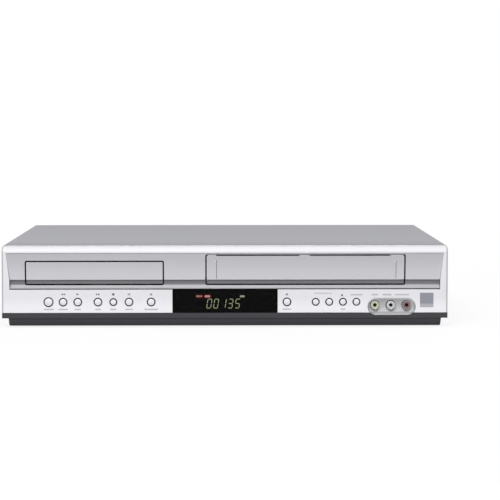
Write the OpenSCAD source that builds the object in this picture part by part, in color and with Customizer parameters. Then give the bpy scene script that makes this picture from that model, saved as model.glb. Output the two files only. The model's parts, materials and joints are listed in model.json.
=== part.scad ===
// Disc and tape combination player: case, front, disc drive, tape deck and boards.
// Millimetres, +Z up, front face towards -Y, resting on z = 0.

/* [Case] */
// Width across the moulded front
body_w = 432; // [430:1:442]
// Height from the table to the top of the cover
body_h = 79; // [79:0.5:83]
// Depth of the case without the sockets
case_d = 331; // [331:1:345]
// How far the front sockets stand out of the front face
front_out = 2; // [1.5:0.5:2.5]
// How far the rear sockets stand out of the cover
rear_out = 11; // [10.5:0.5:12]
// Thickness of the sheet steel
sheet_t = 0.8; // [0.7:0.1:1]
// Wall thickness of the moulded front
wall_t = 2.2; // [2:0.1:2.3]
// Depth of the moulded front ahead of the cover
bezel_d = 8; // [7.5:0.5:8.5]
// Height of the feet
foot_h = 8.5; // [8:0.25:9]
// Diameter of a foot
foot_d = 24; // [20:1:28]
// Bend radius of the cover
cover_r = 1.5; // [1:0.25:3]

/* [Front] */
// Height of the rounded band over the inset panel
band_h = 6.9; // [6.8:0.1:7.1]
// Top of the plain lower face
lower_z = 37.3; // [37:0.1:37.5]
// Top of the dark plinth
plinth_z = 14.3; // [14:0.1:14.6]
// Height where the plinth steps in
plinth_step_z = 9; // [8:0.5:10]
// Air under the plinth
plinth_gap = 1.5; // [1:0.25:1.75]
// How far the plinth foot is set in at each end
plinth_inset = 6.25; // [6:0.25:10]
// How far the inset panel leans back at the groove
panel_lean = 2.6; // [2.2:0.1:2.8]
// Border of the moulded front beside the inset panel
panel_border = 4.25; // [3.5:0.25:4.5]
// Narrowing of the inset panel towards its foot
panel_taper = 3.2; // [2:0.2:4]
// Radius of the long groove
groove_r = 4.9; // [4.8:0.1:5.2]
// Open seam round the inset panel
seam = 0.8; // [0.7:0.1:1]
// Open seam round both doors
door_seam = 1.4; // [1.2:0.1:1.5]
// Radius of the upright edges of the front
edge_r = 1.6; // [1.2:0.1:2]
// Width of the display window
window_w = 101.8; // [96:0.5:104]
// Thickness of the display window
window_t = 1.8; // [1.5:0.1:2]

/* [Buttons] */
// Radius of a button cap
button_r = 3.15; // [3:0.05:3.3]
// Radius of the power button cap
power_r = 3.75; // [3.6:0.05:3.9]
// Radius of a small button cap
small_r = 2.75; // [2.6:0.05:2.9]
// Radius of the dome of a button cap
dome_r = 12; // [10:1:20]
// Open ring round a button cap
button_gap = 1; // [0.8:0.1:1.1]
// Height of the button row
button_z = 24.75; // [24:0.25:25]
// How far a button stands out
button_out = 0.8; // [0.5:0.1:1.2]
// Button travel
button_travel = 1; // [0.6:0.1:1]

/* [Sockets] */
// Radius of a round socket barrel
jack_r = 4.15; // [4:0.05:4.2]
// Spacing of the front sockets
jack_pitch = 15.4; // [14.5:0.1:15.5]
// Width of the socket dish
dish_w = 46.4; // [46:0.2:48]
// Height of the socket dish
dish_h = 16.5; // [16.3:0.1:17]

/* [Disc drive] */
// Centre of the disc door
disc_x = -126.5; // [-128:0.5:-126]
// Width of the disc door seam
door_w = 133.4; // [133:0.1:136]
// Lower seam of both doors
door_z = 41.4; // [41.3:0.1:41.6]
// Height of the disc door seam
door_h = 22.8; // [22:0.1:23]
// Disc radius
disc_r = 60; // [59.5:0.1:60]
// Tray travel
tray_travel = 140; // [130:1:140]
// Gear module
gear_m = 1; // [1:0.1:1]
// Backlash of the gears
backlash = 0.25; // [0.2:0.05:0.35]
// Pickup travel
sled_travel = 34; // [30:1:34]

/* [Tape deck] */
// Centre of the tape door
tape_x = 78; // [77:0.5:78.5]
// Width of the tape door seam
flap_w = 192.9; // [192.8:0.1:194]
// Height of the tape door seam
flap_h = 28.8; // [28.4:0.1:28.9]
// Cassette width
cassette_w = 187; // [186:0.5:187.5]
// Cassette height
cassette_h = 25; // [24.5:0.1:25]
// Carriage travel into the deck
carriage_travel = 60; // [55:1:60]
// Carriage drop onto the deck
carriage_drop = 18; // [16:0.5:18]
// Head drum radius
drum_r = 31; // [30:0.5:31]
// Running clearance of pins in holes
pin_fit = 0.06; // [0.04:0.01:0.08]

/* [Hidden] */
eps = 0.01;
fit = 0.3;
fine = 96;
round_fn = 48;
small_fn = 32;

front_y = -(case_d + front_out + rear_out) / 2 + front_out;
cover_y0 = front_y + bezel_d;
cover_y1 = front_y + case_d;
panel_y1 = cover_y1 - sheet_t;
panel_y0 = panel_y1 - sheet_t;
half_w = body_w / 2;
skin_x = half_w - sheet_t;
floor_z = foot_h + sheet_t;
roof_z = body_h - sheet_t;
tongue_len = 8;
tongue_t = 2;
chassis_y0 = cover_y0 + tongue_len + 1;
lip_h = 12;

inset_z1 = body_h - band_h;
inset_z0 = lower_z + seam / 2;
inset_x1 = half_w - panel_border;
inset_x0 = inset_x1 - panel_taper;
inset_set = 0.4;
door_corner = 1.2;
groove_z1 = lower_z + 8.9;
groove_y = front_y;
groove_z = lower_z + groove_r + 0.2;
groove_dz = groove_z1 - groove_z;
groove_in = groove_y + sqrt(groove_r * groove_r - groove_dz * groove_dz);
groove_back = groove_y + sqrt(pow(groove_r + wall_t, 2) - groove_dz * groove_dz);
shell_top_y = front_y + inset_set;
lean = (groove_in - shell_top_y) / (inset_z1 - groove_z1);
function face_y(z) = shell_top_y + lean * (inset_z1 - z);

hinge_y = front_y + 5.5;
hinge_z = inset_z1 + 1.4;
hinge_r = 1.3;
flap_z1 = door_z + flap_h;
flap_x0 = tape_x - flap_w / 2 + door_seam / 2;
flap_x1 = tape_x + flap_w / 2 - door_seam / 2;
flap_foot = hinge_z - door_z - door_seam / 2;
sweep_r = sqrt(flap_foot * flap_foot + pow(hinge_y - front_y, 2));
ear_t = 2.4;
line_x = [-86.3, 87.9];
line_w = 0.4;
line_d = 0.3;
land_h = 0.9;
land_t = 1.6;
land_x = [[flap_x0 + 1, tape_x - 86.5], [tape_x - 6, tape_x + 4], [tape_x + 82.3, flap_x1 - 1]];
ear_in = 0.6;

dish_x = tape_x + 83.6;
dish_z = 20.1;
dish_proud = 0.4;
dish_r = 15;
dish_rim = 0.9;
dish_back = front_y + 6.5;
jack_z = dish_z + 1.65;
jack_bore = 1.7;
jack_front = front_y - front_out;
jack_ring = 3.8;
socket_gap = 0.6;
jack_block_y = cover_y0 + fit;

board_t = 1.6;
board_y0 = front_y + 12;
board_y1 = board_y0 + board_t;
post_x = [-164.3, -82, 74, 121];
post_z = button_z + 6.9;
post_r = 2.2;
switch_w = 6;
switch_d = 3.4;
switch_y = board_y0 - switch_d;
plunger_r = 1.7;
plunger_l = 1.1;

button_x = [-170.9, -156.8, -142.6, -123.1, -108.2, -93, -71.6, 60, 87.9, 101, 114.3, 127.4];
cap_r = [power_r, button_r, button_r, button_r, small_r, button_r, button_r, button_r,
    small_r, small_r, small_r, small_r];
button_stem_r = 1.6;
flange_t = 1;

window_x = window_w / 2;
window_z1 = lower_z - seam / 2;
display_h = 14;
display_w = 92;
display_z = plinth_z + 10.2;

// disc drive levels
tray_z = 52;
tray_plate_z = 54;
tray_top_z = 57;
tray_half = 64;
tray_y0 = front_y + 6.5;
tray_len = 173.5;
tray_y1 = tray_y0 + tray_len;
dish_depth = 1.5;
disc_y = front_y + 77;
slot_half = 20.5;
frame_half = 67.5;
frame_wall = 2.2;
frame_in = frame_half - frame_wall;
frame_y0 = front_y + 14;
frame_y1 = front_y + 184;
frame_floor = 41;
frame_floor_t = 2;
frame_top = 63;
leg_r = 4;
leg_back = 8;
frame_leg_x = frame_half - 9.5;
gear_t = 2.6;
rack_x = disc_x + 53;
tray_teeth = 24;
tray_wheel = 30;
small_teeth = 10;
tray_gear_r = gear_m * tray_teeth / 2;
gear_far = gear_m * (tray_wheel + small_teeth) / 2;
tray_gear_x = rack_x - tray_gear_r;
tray_gear_y = front_y + 26;
train_a = 167;
idler_x = tray_gear_x + gear_far * cos(train_a);
idler_y = tray_gear_y + gear_far * sin(train_a);
train_b = 165;
motor_x = idler_x + gear_far * cos(train_b);
motor_y = idler_y + gear_far * sin(train_b);
level_a = 44.2;
level_b = level_a + gear_t + 0.3;
level_c = level_b + gear_t + 0.3;
axle_r = 1.5;
motor_r = 12;
motor_h = 11;

// traverse levels
trav_z = 46;
trav_t = 1.5;
trav_half = 38;
trav_y0 = disc_y - 18;
trav_y1 = disc_y + 79;
trav_pin_y = disc_y + 75;
trav_pin_z = trav_z + 3;
trav_pin_r = 2;
window_half = 42;
seat_z = 57.6;
hub_r = 7.4;
table_r = 16;
spindle_r = 14;
spindle_h = 5.6;
rod_r = 1.5;
rod_x = 27;
rod_z = 50.2;
sled_y = disc_y + 24;
screw_x = 34;
screw_r = 1.8;
bridge_z = frame_top + 0.1;
bridge_t = 1.6;
puck_r = 12.4;

// tape deck levels
deck_z = 17;
deck_t = 1.5;
deck_top = deck_z + deck_t;
deck_half = 102;
carriage_y0 = hinge_y + sweep_r + 1.4;
carriage_len = 44;
carriage_y1 = carriage_y0 + carriage_len;
lead_y = carriage_y1 + carriage_travel;
hold_z0 = door_z + 0.4;
hold_z1 = hold_z0 + cassette_h + 1;
hold_in = cassette_w / 2 + 1;
hold_t = 1;
slide_in = hold_in + hold_t + 0.5;
slide_t = 1.2;
rail_in = slide_in + slide_t + 0.6;
rail_t = 1.2;
pin_r = 1.5;
hold_pin_z = hold_z0 + 8;
slide_pin_z = hold_z1 - 4;
drum_y = lead_y + 39;
drum_split = deck_top + 14;
drum_top = deck_top + 26;
reel_y = lead_y - 48;
reel_x = 46;
reel_r = 21;
capstan_x = tape_x + 52;
capstan_y = lead_y + 13;
capstan_r = 1.5;
flywheel_r = 23;
wheel_z = floor_z + 0.7;
arm_x = tape_x + 76;
arm_y = capstan_y + 12;
arm_len = 22.3;
arm_close = 189.9;
arm_swing = 45;
arm_rest = arm_close - arm_swing;
roller_r = 6.4;
roller_x = arm_x + arm_len * cos(arm_rest);
roller_y = arm_y + arm_len * sin(arm_rest);
guide_x = 34;
guide_y = lead_y + 3;
guide_dx = 10;
guide_dy = 36;
guide_angle = atan2(guide_dx, guide_dy);
guide_len = sqrt(guide_dx * guide_dx + guide_dy * guide_dy);
guide_pin_r = 2;
guide_slot_r = guide_pin_r + fit;

// boards and rear sockets
stand_z = floor_z + 4.2;
board_z1 = stand_z + board_t;
main_x0 = -half_w + 12.5;
main_x1 = disc_x + frame_half + 29.5;
main_y0 = front_y + 92;
main_y1 = panel_y0 - 3;
power_x1 = half_w - 12.5;
power_x0 = power_x1 - 155;
power_y0 = panel_y0 - 85;
inlet_x = power_x1 - 23;
inlet_z = 24;
rca_x = main_x0 + 15;
rca_pitch = 15.2;
rca_cols = 7;
rca_rows = [24, 39];
tuner_x1 = main_x1 - 4;
tuner_x0 = tuner_x1 - 38;
tuner_h = 44;
coax_x = (tuner_x0 + tuner_x1) / 2;
coax_z = [22, 40];
coax_r = 4.75;
rear_tip = cover_y1 + rear_out;
screw_head_r = 3;
screw_head_h = 1.6;
screw_shank_r = 1.4;
lip_screw_x = [for (i = [-2 : 2]) i * (half_w / 2 - 13.75)];
can_r = 4;
can_h = 11;
foot_x = half_w - 38;
foot_y0 = front_y + 38;
foot_y1 = cover_y1 - 32;

// ---- helpers ----
module box(x0, x1, y0, y1, z0, z1)
    translate([x0, y0, z0]) cube([x1 - x0, y1 - y0, z1 - z0]);

module rod_along_x(r, x0, x1, y, z)
    translate([x0, y, z]) rotate([0, 90, 0]) cylinder(r = r, h = x1 - x0, $fn = round_fn);

module rod_along_y(r, x, y0, y1, z)
    translate([x, y0, z]) rotate([-90, 0, 0]) cylinder(r = r, h = y1 - y0, $fn = round_fn);

module rod_up(r, x, y, z0, z1)
    translate([x, y, z0]) cylinder(r = r, h = z1 - z0, $fn = round_fn);

// a y-z outline carried along x
module along_x(x0, x1)
    translate([x0, 0, 0]) rotate([90, 0, 90]) linear_extrude(x1 - x0) children();

// an x-z outline carried along y
module along_y(y0, y1)
    translate([0, y1, 0]) rotate([90, 0, 0]) linear_extrude(y1 - y0) children();

module round_rect(x0, x1, y0, y1, r) {
    translate([x0 + r, y0]) square([x1 - x0 - 2 * r, y1 - y0]);
    translate([x0, y0 + r]) square([x1 - x0, y1 - y0 - 2 * r]);
    for (x = [x0 + r, x1 - r], y = [y0 + r, y1 - r])
        translate([x, y]) circle(r = r, $fn = round_fn);
}

// upright outline with round top corners only
module arch(x, z0, z1, r) {
    translate([-x, z0]) square([2 * x, z1 - r - z0]);
    translate([-x + r, z0]) square([2 * x - 2 * r, z1 - z0]);
    for (s = [-1, 1])
        translate([s * (x - r), z1 - r]) circle(r = r, $fn = round_fn);
}

module stadium(w, h, r_less) {
    r = h / 2 - r_less;
    half = w / 2 - h / 2;
    translate([-half, -r]) square([2 * half, 2 * r]);
    for (s = [-1, 1])
        translate([s * half, 0]) circle(r = r, $fn = round_fn);
}

function involute(c) = let (a = acos(c)) tan(a) * 180 / PI - a;
function flank_at(r, rb) = r > rb ? involute(rb / r) : 0;

module gear_outline(teeth) {
    rp = gear_m * teeth / 2;
    rb = rp * cos(20);
    rf = rp - 1.15 * gear_m;
    ra = rp + 0.85 * gear_m;
    half = (PI * gear_m / 2 - backlash) / (2 * rp) * 180 / PI + involute(cos(20));
    radii = [rf, max(rf, rb) + 0.02, (rb + rp) / 2 + 0.1, rp + 0.1, ra];
    count = len(radii);
    polygon([for (k = [0 : teeth - 1]) each concat(
        [for (i = [0 : count - 1]) let (r = radii[i],
            a = (k + 0.5) * 360 / teeth - half + flank_at(r, rb)) [r * cos(a), r * sin(a)]],
        [for (i = [count - 1 : -1 : 0]) let (r = radii[i],
            a = (k + 0.5) * 360 / teeth + half - flank_at(r, rb)) [r * cos(a), r * sin(a)]])]);
}

// a gear whose tooth (or gap) points along the given direction
module gear(teeth, x, y, z, t, toward, tooth) {
    turn = toward + (tooth ? 180 / teeth : 0);
    translate([x, y, z]) rotate([0, 0, turn]) linear_extrude(t) gear_outline(teeth);
}

// ---- case ----
module top_cover() color("silver") difference() {
    slots = 12;
    slot_pitch = 6;
    slot_w = 2.4;
    slot_y = cover_y1 - 110;
    union() {
        difference() {
            along_y(cover_y0, cover_y1) arch(half_w, floor_z + fit, body_h, cover_r);
            along_y(cover_y0 - 1, cover_y1 + 1)
                arch(skin_x, floor_z - 1, roof_z, cover_r - sheet_t);
        }
        intersection() {
            along_y(cover_y1 - sheet_t, cover_y1) arch(half_w, floor_z + fit, body_h, cover_r);
            box(-half_w, half_w, cover_y1 - sheet_t, cover_y1, body_h - lip_h, body_h);
        }
    }
    for (i = [0 : slots - 1])
        box(-half_w - 1, half_w + 1, slot_y + i * slot_pitch, slot_y + i * slot_pitch + slot_w,
            30, 54);
    for (x = lip_screw_x)
        rod_along_y(screw_shank_r + 0.1, x, cover_y1 - 2, cover_y1 + 1, body_h - lip_h / 2);
}

module bottom_chassis() color("gainsboro") {
    flange_z = 36;
    rear_flange_z = board_z1 - 0.3;
    front_flange_z = floor_z + 1.8;
    vents = 14;
    vent_pitch = 9;
    vent_w = 4;
    side_x = skin_x - 0.1;
    difference() {
        union() {
            box(-side_x, side_x, chassis_y0, panel_y0, foot_h, floor_z);
            for (s = [-1, 1])
                box(min(s * side_x, s * (side_x - sheet_t)), max(s * side_x, s * (side_x - sheet_t)),
                    chassis_y0, panel_y0, foot_h, flange_z);
            box(-side_x, side_x, panel_y0 - sheet_t, panel_y0, foot_h, rear_flange_z);
            box(-side_x, side_x, chassis_y0, chassis_y0 + sheet_t, foot_h, front_flange_z);
            for (x = [main_x0 + 6, main_x1 - 6], y = [main_y0 + 6, main_y1 - 6])
                rod_up(3, x, y, foot_h, stand_z);
            for (x = [power_x0 + 6, power_x1 - 6], y = [power_y0 + 6, main_y1 - 6])
                rod_up(3, x, y, foot_h, stand_z);
        }
        for (i = [0 : vents - 1]) {
            y = panel_y0 - 18 - i * vent_pitch;
            box(main_x0 + 15, main_x0 + 55, y - vent_w, y, foot_h - 1, floor_z + 1);
            box(power_x1 - 125, power_x1 - 75, y - vent_w, y, foot_h - 1, floor_z + 1);
        }
    }
}

module rear_panel() color("lightgray") {
    side_x = skin_x - 0.3;
    vent_x = -20;
    difference() {
        along_y(panel_y0, panel_y1) arch(side_x, foot_h, roof_z - 0.1, cover_r);
        for (i = [0 : rca_cols - 1], z = rca_rows)
            rod_along_y(jack_r + socket_gap, rca_x + i * rca_pitch, panel_y0 - 1, panel_y1 + 1, z);
        for (z = coax_z)
            rod_along_y(coax_r + socket_gap, coax_x, panel_y0 - 1, panel_y1 + 1, z);
        inlet_hole();
        for (i = [0 : 11])
            box(vent_x + i * 7, vent_x + i * 7 + 3, panel_y0 - 1, panel_y1 + 1, roof_z - 34, roof_z - 8);
        for (x = lip_screw_x)
            rod_along_y(screw_shank_r + 0.1, x, panel_y0 - 1, panel_y1 + 1, body_h - lip_h / 2);
    }
}

module inlet_hole()
    along_y(panel_y0 - 1, panel_y1 + 1)
        round_rect(inlet_x - 11.3, inlet_x + 11.3, inlet_z - 6.8, inlet_z + 6.8, 3);

// outer or inner skin of the moulded front, shrunk by d
module bezel_mass(d, back) {
    edge = 7;
    corner = wall_t + 0.4;
    z0 = plinth_z + d;
    intersection() {
        along_y(front_y + d, back) arch(half_w - d, z0, body_h - d, corner - d);
        along_x(-half_w, half_w) bezel_side(d, edge, z0, back);
        translate([0, 0, z0 - 1]) linear_extrude(body_h)
            round_rect(-half_w + d, half_w - d, front_y + d, back + 20, max(edge_r - d, 0.6));
    }
}

module bezel_side(d, edge, z0, back) {
    cy = front_y + edge;
    cz = body_h - edge;
    translate([front_y + d, z0]) square([back - front_y - d, cz - z0]);
    translate([cy, z0]) square([back - cy, body_h - d - z0]);
    translate([cy, cz]) circle(r = edge - d, $fn = fine);
}

module inset_outline(grow) {
    z_taper = groove_z1;
    polygon([
        [-inset_x1 - grow, inset_z1 + grow], [-inset_x0 - grow, z_taper],
        [-inset_x0 - grow, inset_z0 - grow], [inset_x0 + grow, inset_z0 - grow],
        [inset_x0 + grow, z_taper], [inset_x1 + grow, inset_z1 + grow]]);
}

module front_bezel() color("gainsboro") {
    shelf_z = inset_z0 - seam;
    ledge_z = door_z - door_seam / 2 - 0.4;
    hinge_in = flap_w / 2 + door_seam / 2;
    rest_h = 2.5;
    rest_y = face_y(inset_z1 - rest_h) + wall_t + fit;
    difference() {
        union() {
            difference() {
                bezel_mass(0, cover_y0);
                bezel_mass(wall_t, cover_y0 + 1);
            }
            bezel_tongue();
            // shelf and ledge under the inset panel
            box(-inset_x0, inset_x0, front_y + 1, cover_y0, shelf_z - 4, shelf_z);
            box(-inset_x0, inset_x0, groove_y + groove_r + wall_t + 0.1, cover_y0,
                shelf_z - 4, ledge_z);
            box(tape_x - hold_in, tape_x + hold_in, cover_y0 - 1, cover_y0 + 12,
                ledge_z - 2, ledge_z);
            // rests behind the top edge of the inset panel
            box(-inset_x0, tape_x - hinge_in - 5, rest_y, cover_y0,
                inset_z1 - rest_h, inset_z1 + 4);
            box(tape_x + hinge_in + 5, inset_x0, rest_y, cover_y0,
                inset_z1 - rest_h, inset_z1 + 4);
            for (x = post_x)
                rod_along_y(post_r, x, front_y + 1, board_y0 - 0.1, post_z);
            // hinge brackets of the tape door
            for (s = [-1, 1])
                box(tape_x + s * (hinge_in + 2) - 1.2, tape_x + s * (hinge_in + 2) + 1.2,
                    hinge_y - 2.4, cover_y0 + 3, hinge_z - 3, body_h - 2);
        }
        along_y(front_y - 1, front_y + wall_t + 0.2) inset_outline(0.15);
        box(-inset_x0 - 0.15, inset_x0 + 0.15, front_y - 1, front_y + wall_t + 0.2,
            shelf_z, inset_z0 + 1);
        for (i = [0 : len(button_x) - 1])
            rod_along_y(cap_r[i] + button_gap, button_x[i], front_y - 1, front_y + 4, button_z);
        window_pocket();
        translate([dish_x, 0, dish_z]) along_y(front_y - 1, cover_y0 + 1)
            stadium(dish_w, dish_h, -0.15);
        rod_along_x(hinge_r + pin_fit, tape_x - flap_w / 2 - 8, tape_x + flap_w / 2 + 8,
            hinge_y, hinge_z);
        for (x = post_x)
            rod_along_y(screw_shank_r - 0.2, x, board_y0 - 7, board_y0, post_z);
    }
}

module window_pocket() {
    box(-window_x - 0.1, window_x + 0.1, front_y - 1, front_y + window_t + 0.2,
        plinth_z - 1, window_z1 + seam / 2);
    box(-window_x + 3, window_x - 3, front_y, front_y + 8, plinth_z + 3, shelf_low());
}

function shelf_low() = inset_z0 - seam - 4.1;

module bezel_tongue() {
    d = sheet_t + 0.1;
    difference() {
        along_y(cover_y0 - 3, cover_y0 + tongue_len)
            arch(half_w - d, plinth_z, body_h - d, cover_r);
        along_y(cover_y0 - 4, cover_y0 + tongue_len + 1)
            arch(half_w - d - tongue_t, plinth_z - 1, body_h - d - tongue_t, cover_r);
    }
}

// section of the inset panel and both doors
module shell_section(z0, z1) intersection() {
    union() {
        polygon([[shell_top_y, inset_z1], [groove_in, groove_z1], [groove_back, groove_z1],
            [shell_top_y + wall_t, inset_z1]]);
        intersection() {
            translate([groove_y, groove_z]) difference() {
                circle(r = groove_r + wall_t, $fn = fine);
                circle(r = groove_r, $fn = fine);
            }
            translate([front_y, inset_z0 - 1]) square([20, groove_z1 - inset_z0 + 1]);
        }
    }
    translate([front_y - 5, z0]) square([40, z1 - z0]);
}

// front outline of a door, grown or shrunk from the middle of its seam
module door_outline(x, w, h, grow)
    round_rect(x - w / 2 - grow, x + w / 2 + grow, door_z - grow, door_z + h + grow,
        door_corner + grow);

module decor_panel() color("darkgray") difference() {
    intersection() {
        along_x(-half_w, half_w) shell_section(inset_z0, inset_z1);
        along_y(front_y - 1, front_y + 20) inset_outline(0);
    }
    along_y(front_y - 1, front_y + 20) {
        door_outline(disc_x, door_w, door_h, door_seam / 2);
        door_outline(tape_x, flap_w, flap_h, door_seam / 2);
    }
}

module plinth_trim() color("dimgray") {
    set_y = front_y + 0.4;
    back_y = front_y + 22;
    step = 1;
    foot_set = 3.6;
    plate_z = plinth_gap + wall_t;
    top_z = plinth_z - 0.1;
    foot_x1 = half_w - plinth_inset;
    difference() {
        union() {
            intersection() {
                along_x(-half_w, half_w) polygon([
                    [set_y, top_z], [set_y, plinth_step_z], [set_y + step, plinth_step_z - 0.4],
                    [front_y + foot_set, plinth_gap], [back_y, plinth_gap], [back_y, plate_z],
                    [front_y + foot_set + 2, plate_z], [set_y + 3, plinth_step_z],
                    [set_y + wall_t, plinth_step_z + 0.4], [set_y + wall_t, top_z]]);
                union() {
                    box(-half_w, half_w, front_y, back_y, plinth_step_z, top_z);
                    along_y(front_y - 1, back_y) polygon([
                        [-foot_x1, plinth_step_z], [-foot_x1 + 0.4, plinth_gap + 1],
                        [-foot_x1 + 1.2, plinth_gap], [foot_x1 - 1.2, plinth_gap],
                        [foot_x1 - 0.4, plinth_gap + 1], [foot_x1, plinth_step_z]]);
                }
            }
            for (s = [0, 1]) mirror([s, 0, 0])
                box(half_w - wall_t, half_w, set_y, cover_y0, plinth_step_z, top_z);
            for (x = [-150, -50, 50])
                box(x - 5, x + 5, set_y + 1, cover_y0, plinth_step_z + 0.4, top_z);
        }
        translate([dish_x, 0, dish_z]) along_y(front_y - 1, cover_y0 + 1)
            stadium(dish_w, dish_h, -0.15);
    }
}

module display_window() color([0.06, 0.06, 0.08])
    box(-window_x, window_x, front_y + 0.1, front_y + 0.1 + window_t, plinth_z, window_z1);

module front_socket_place(i)
    translate([dish_x - 1 + i * jack_pitch, 0, jack_z]) children();

module jack_escutcheon() color("gray") difference() {
    opening = dish_h / 2 - dish_rim;
    centre_y = front_y - dish_proud - sqrt(dish_r * dish_r - opening * opening);
    half = dish_w / 2 - dish_h / 2;
    translate([dish_x, 0, dish_z]) along_y(front_y - dish_proud, dish_back)
        stadium(dish_w, dish_h, 0);
    rod_along_x(dish_r, dish_x - half, dish_x + half, centre_y, dish_z);
    for (s = [-1, 1])
        translate([dish_x + s * half, centre_y, dish_z]) sphere(r = dish_r, $fn = fine);
    for (i = [-1, 0, 1])
        front_socket_place(i)
            rod_along_y(jack_r + socket_gap, 0, front_y - 1, dish_back + 1, 0);
}

module feet() color([0.1, 0.1, 0.1])
    for (x = [-foot_x, foot_x], y = [foot_y0, foot_y1]) difference() {
        rod_up(foot_d / 2, x, y, 0, foot_h);
        rod_up(foot_d / 2 - 4, x, y, -1, 1);
    }

module case_screws() color("gray") {
    for (x = lip_screw_x) {
        rod_along_y(screw_head_r, x, cover_y1, cover_y1 + screw_head_h, body_h - lip_h / 2);
        rod_along_y(screw_shank_r, x, panel_y0 - 4, cover_y1 + eps, body_h - lip_h / 2);
    }
    for (x = post_x) {
        rod_along_y(screw_head_r - 0.4, x, board_y1, board_y1 + screw_head_h, post_z);
        rod_along_y(screw_shank_r - 0.3, x, board_y0 - 6, board_y1 + eps, post_z);
    }
}

// ---- buttons ----
module button(i) color("white") {
    x = button_x[i];
    tip = front_y - button_out;
    back = front_y + wall_t + fit;
    stem_end = switch_y - plunger_l - button_travel - 0.1;
    intersection() {
        rod_along_y(cap_r[i], x, tip, back + eps, button_z);
        translate([x, tip + dome_r, button_z]) sphere(r = dome_r, $fn = fine);
    }
    rod_along_y(cap_r[i] + button_gap + 0.8, x, back, back + flange_t, button_z);
    rod_along_y(button_stem_r, x, back + eps, stem_end, button_z);
}

module power_button() button(0);
module rewind_button() button(1);
module play_button() button(2);
module forward_button() button(3);
module stop_button() button(4);
module pause_button() button(5);
module disc_eject_button() button(6);
module tape_eject_button() button(7);
module channel_down_button() button(8);
module channel_up_button() button(9);
module record_button() button(10);
module source_button() button(11);

module tape_door() color("darkgray") {
    top = flap_z1 - door_seam / 2;
    pin_out = hinge_r + 3.5;
    difference() {
        intersection() {
            along_x(flap_x0, flap_x1) shell_section(door_z, flap_z1);
            along_y(front_y - 1, front_y + 20) door_outline(tape_x, flap_w, flap_h, -door_seam / 2);
        }
        for (x = line_x)
            along_x(tape_x + x - line_w / 2, tape_x + x + line_w / 2) polygon([
                [face_y(groove_z1 + 1) - 2, groove_z1 + 1],
                [face_y(groove_z1 + 1) + line_d, groove_z1 + 1],
                [face_y(flap_z1 - 5) + line_d, flap_z1 - 5],
                [face_y(flap_z1 - 5) - 2, flap_z1 - 5]]);
    }
    // raised lands that narrow the seam over the top edge
    for (land = land_x)
        box(land[0], land[1], face_y(top) + 0.05, face_y(top) + land_t, top - 1, top + land_h);
    for (s = [0, 1]) {
        x0 = s == 0 ? flap_x0 + ear_in : flap_x1 - ear_in - ear_t;
        box(x0, x0 + ear_t, hinge_y - 2.2, hinge_y + 2.2, top - 12, hinge_z);
        box(x0, x0 + ear_t, hinge_y - 2.9, hinge_y + 2.2, top - 12, top - 0.4);
        rod_along_x(2.2, x0, x0 + ear_t, hinge_y, hinge_z);
    }
    rod_along_x(hinge_r, flap_x0 - pin_out, flap_x0 + ear_in + eps, hinge_y, hinge_z);
    rod_along_x(hinge_r, flap_x1 - ear_in - eps, flap_x1 + pin_out, hinge_y, hinge_z);
}

// ---- front electronics ----
module front_board() color("darkgreen") {
    x0 = button_x[0] - 10;
    x1 = button_x[11] + 8;
    difference() {
        box(x0, x1, board_y0, board_y1, 8, post_z + 4);
        for (x = post_x)
            rod_along_y(screw_shank_r, x, board_y0 - 1, board_y1 + 1, post_z);
    }
    for (x = button_x) {
        box(x - switch_w / 2, x + switch_w / 2, switch_y, board_y0 + eps,
            button_z - switch_w / 2, button_z + switch_w / 2);
        rod_along_y(plunger_r, x, switch_y - plunger_l, switch_y + eps, button_z);
    }
    box(-30, 12, board_y1 - eps, board_y1 + 4, 12, 17);
}

module display_module() color("darkslategray") {
    box(-display_w / 2, display_w / 2, front_y + 4.6, front_y + 9.6,
        display_z - display_h / 2, display_z + display_h / 2);
    box(-display_w / 2 + 3, display_w / 2 - 3, front_y + 9.6 - eps, board_y0,
        display_z - 5, display_z + 5);
}

module front_jacks() color("black") {
    z0 = dish_z - 8;
    z1 = dish_z + 8;
    x0 = dish_x - 24;
    x1 = dish_x + 22;
    difference() {
        union() {
            box(x0, x1, jack_block_y, dish_back + 11, z0, z1);
            box(x0 - 2, x1 + 2, dish_back + 11 - eps, dish_back + 11 + board_t, z0, z1 + 4);
            for (i = [-1, 0, 1])
                front_socket_place(i) rod_along_y(jack_r, 0, jack_front, jack_block_y + 1, 0);
        }
        for (i = [-1, 0, 1]) front_socket_place(i) {
            rod_along_y(jack_bore, 0, jack_front - 1, jack_front + 9, 0);
            rod_along_y(jack_ring, 0, jack_front - 1, jack_front + 0.4, 0);
        }
    }
}

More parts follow.
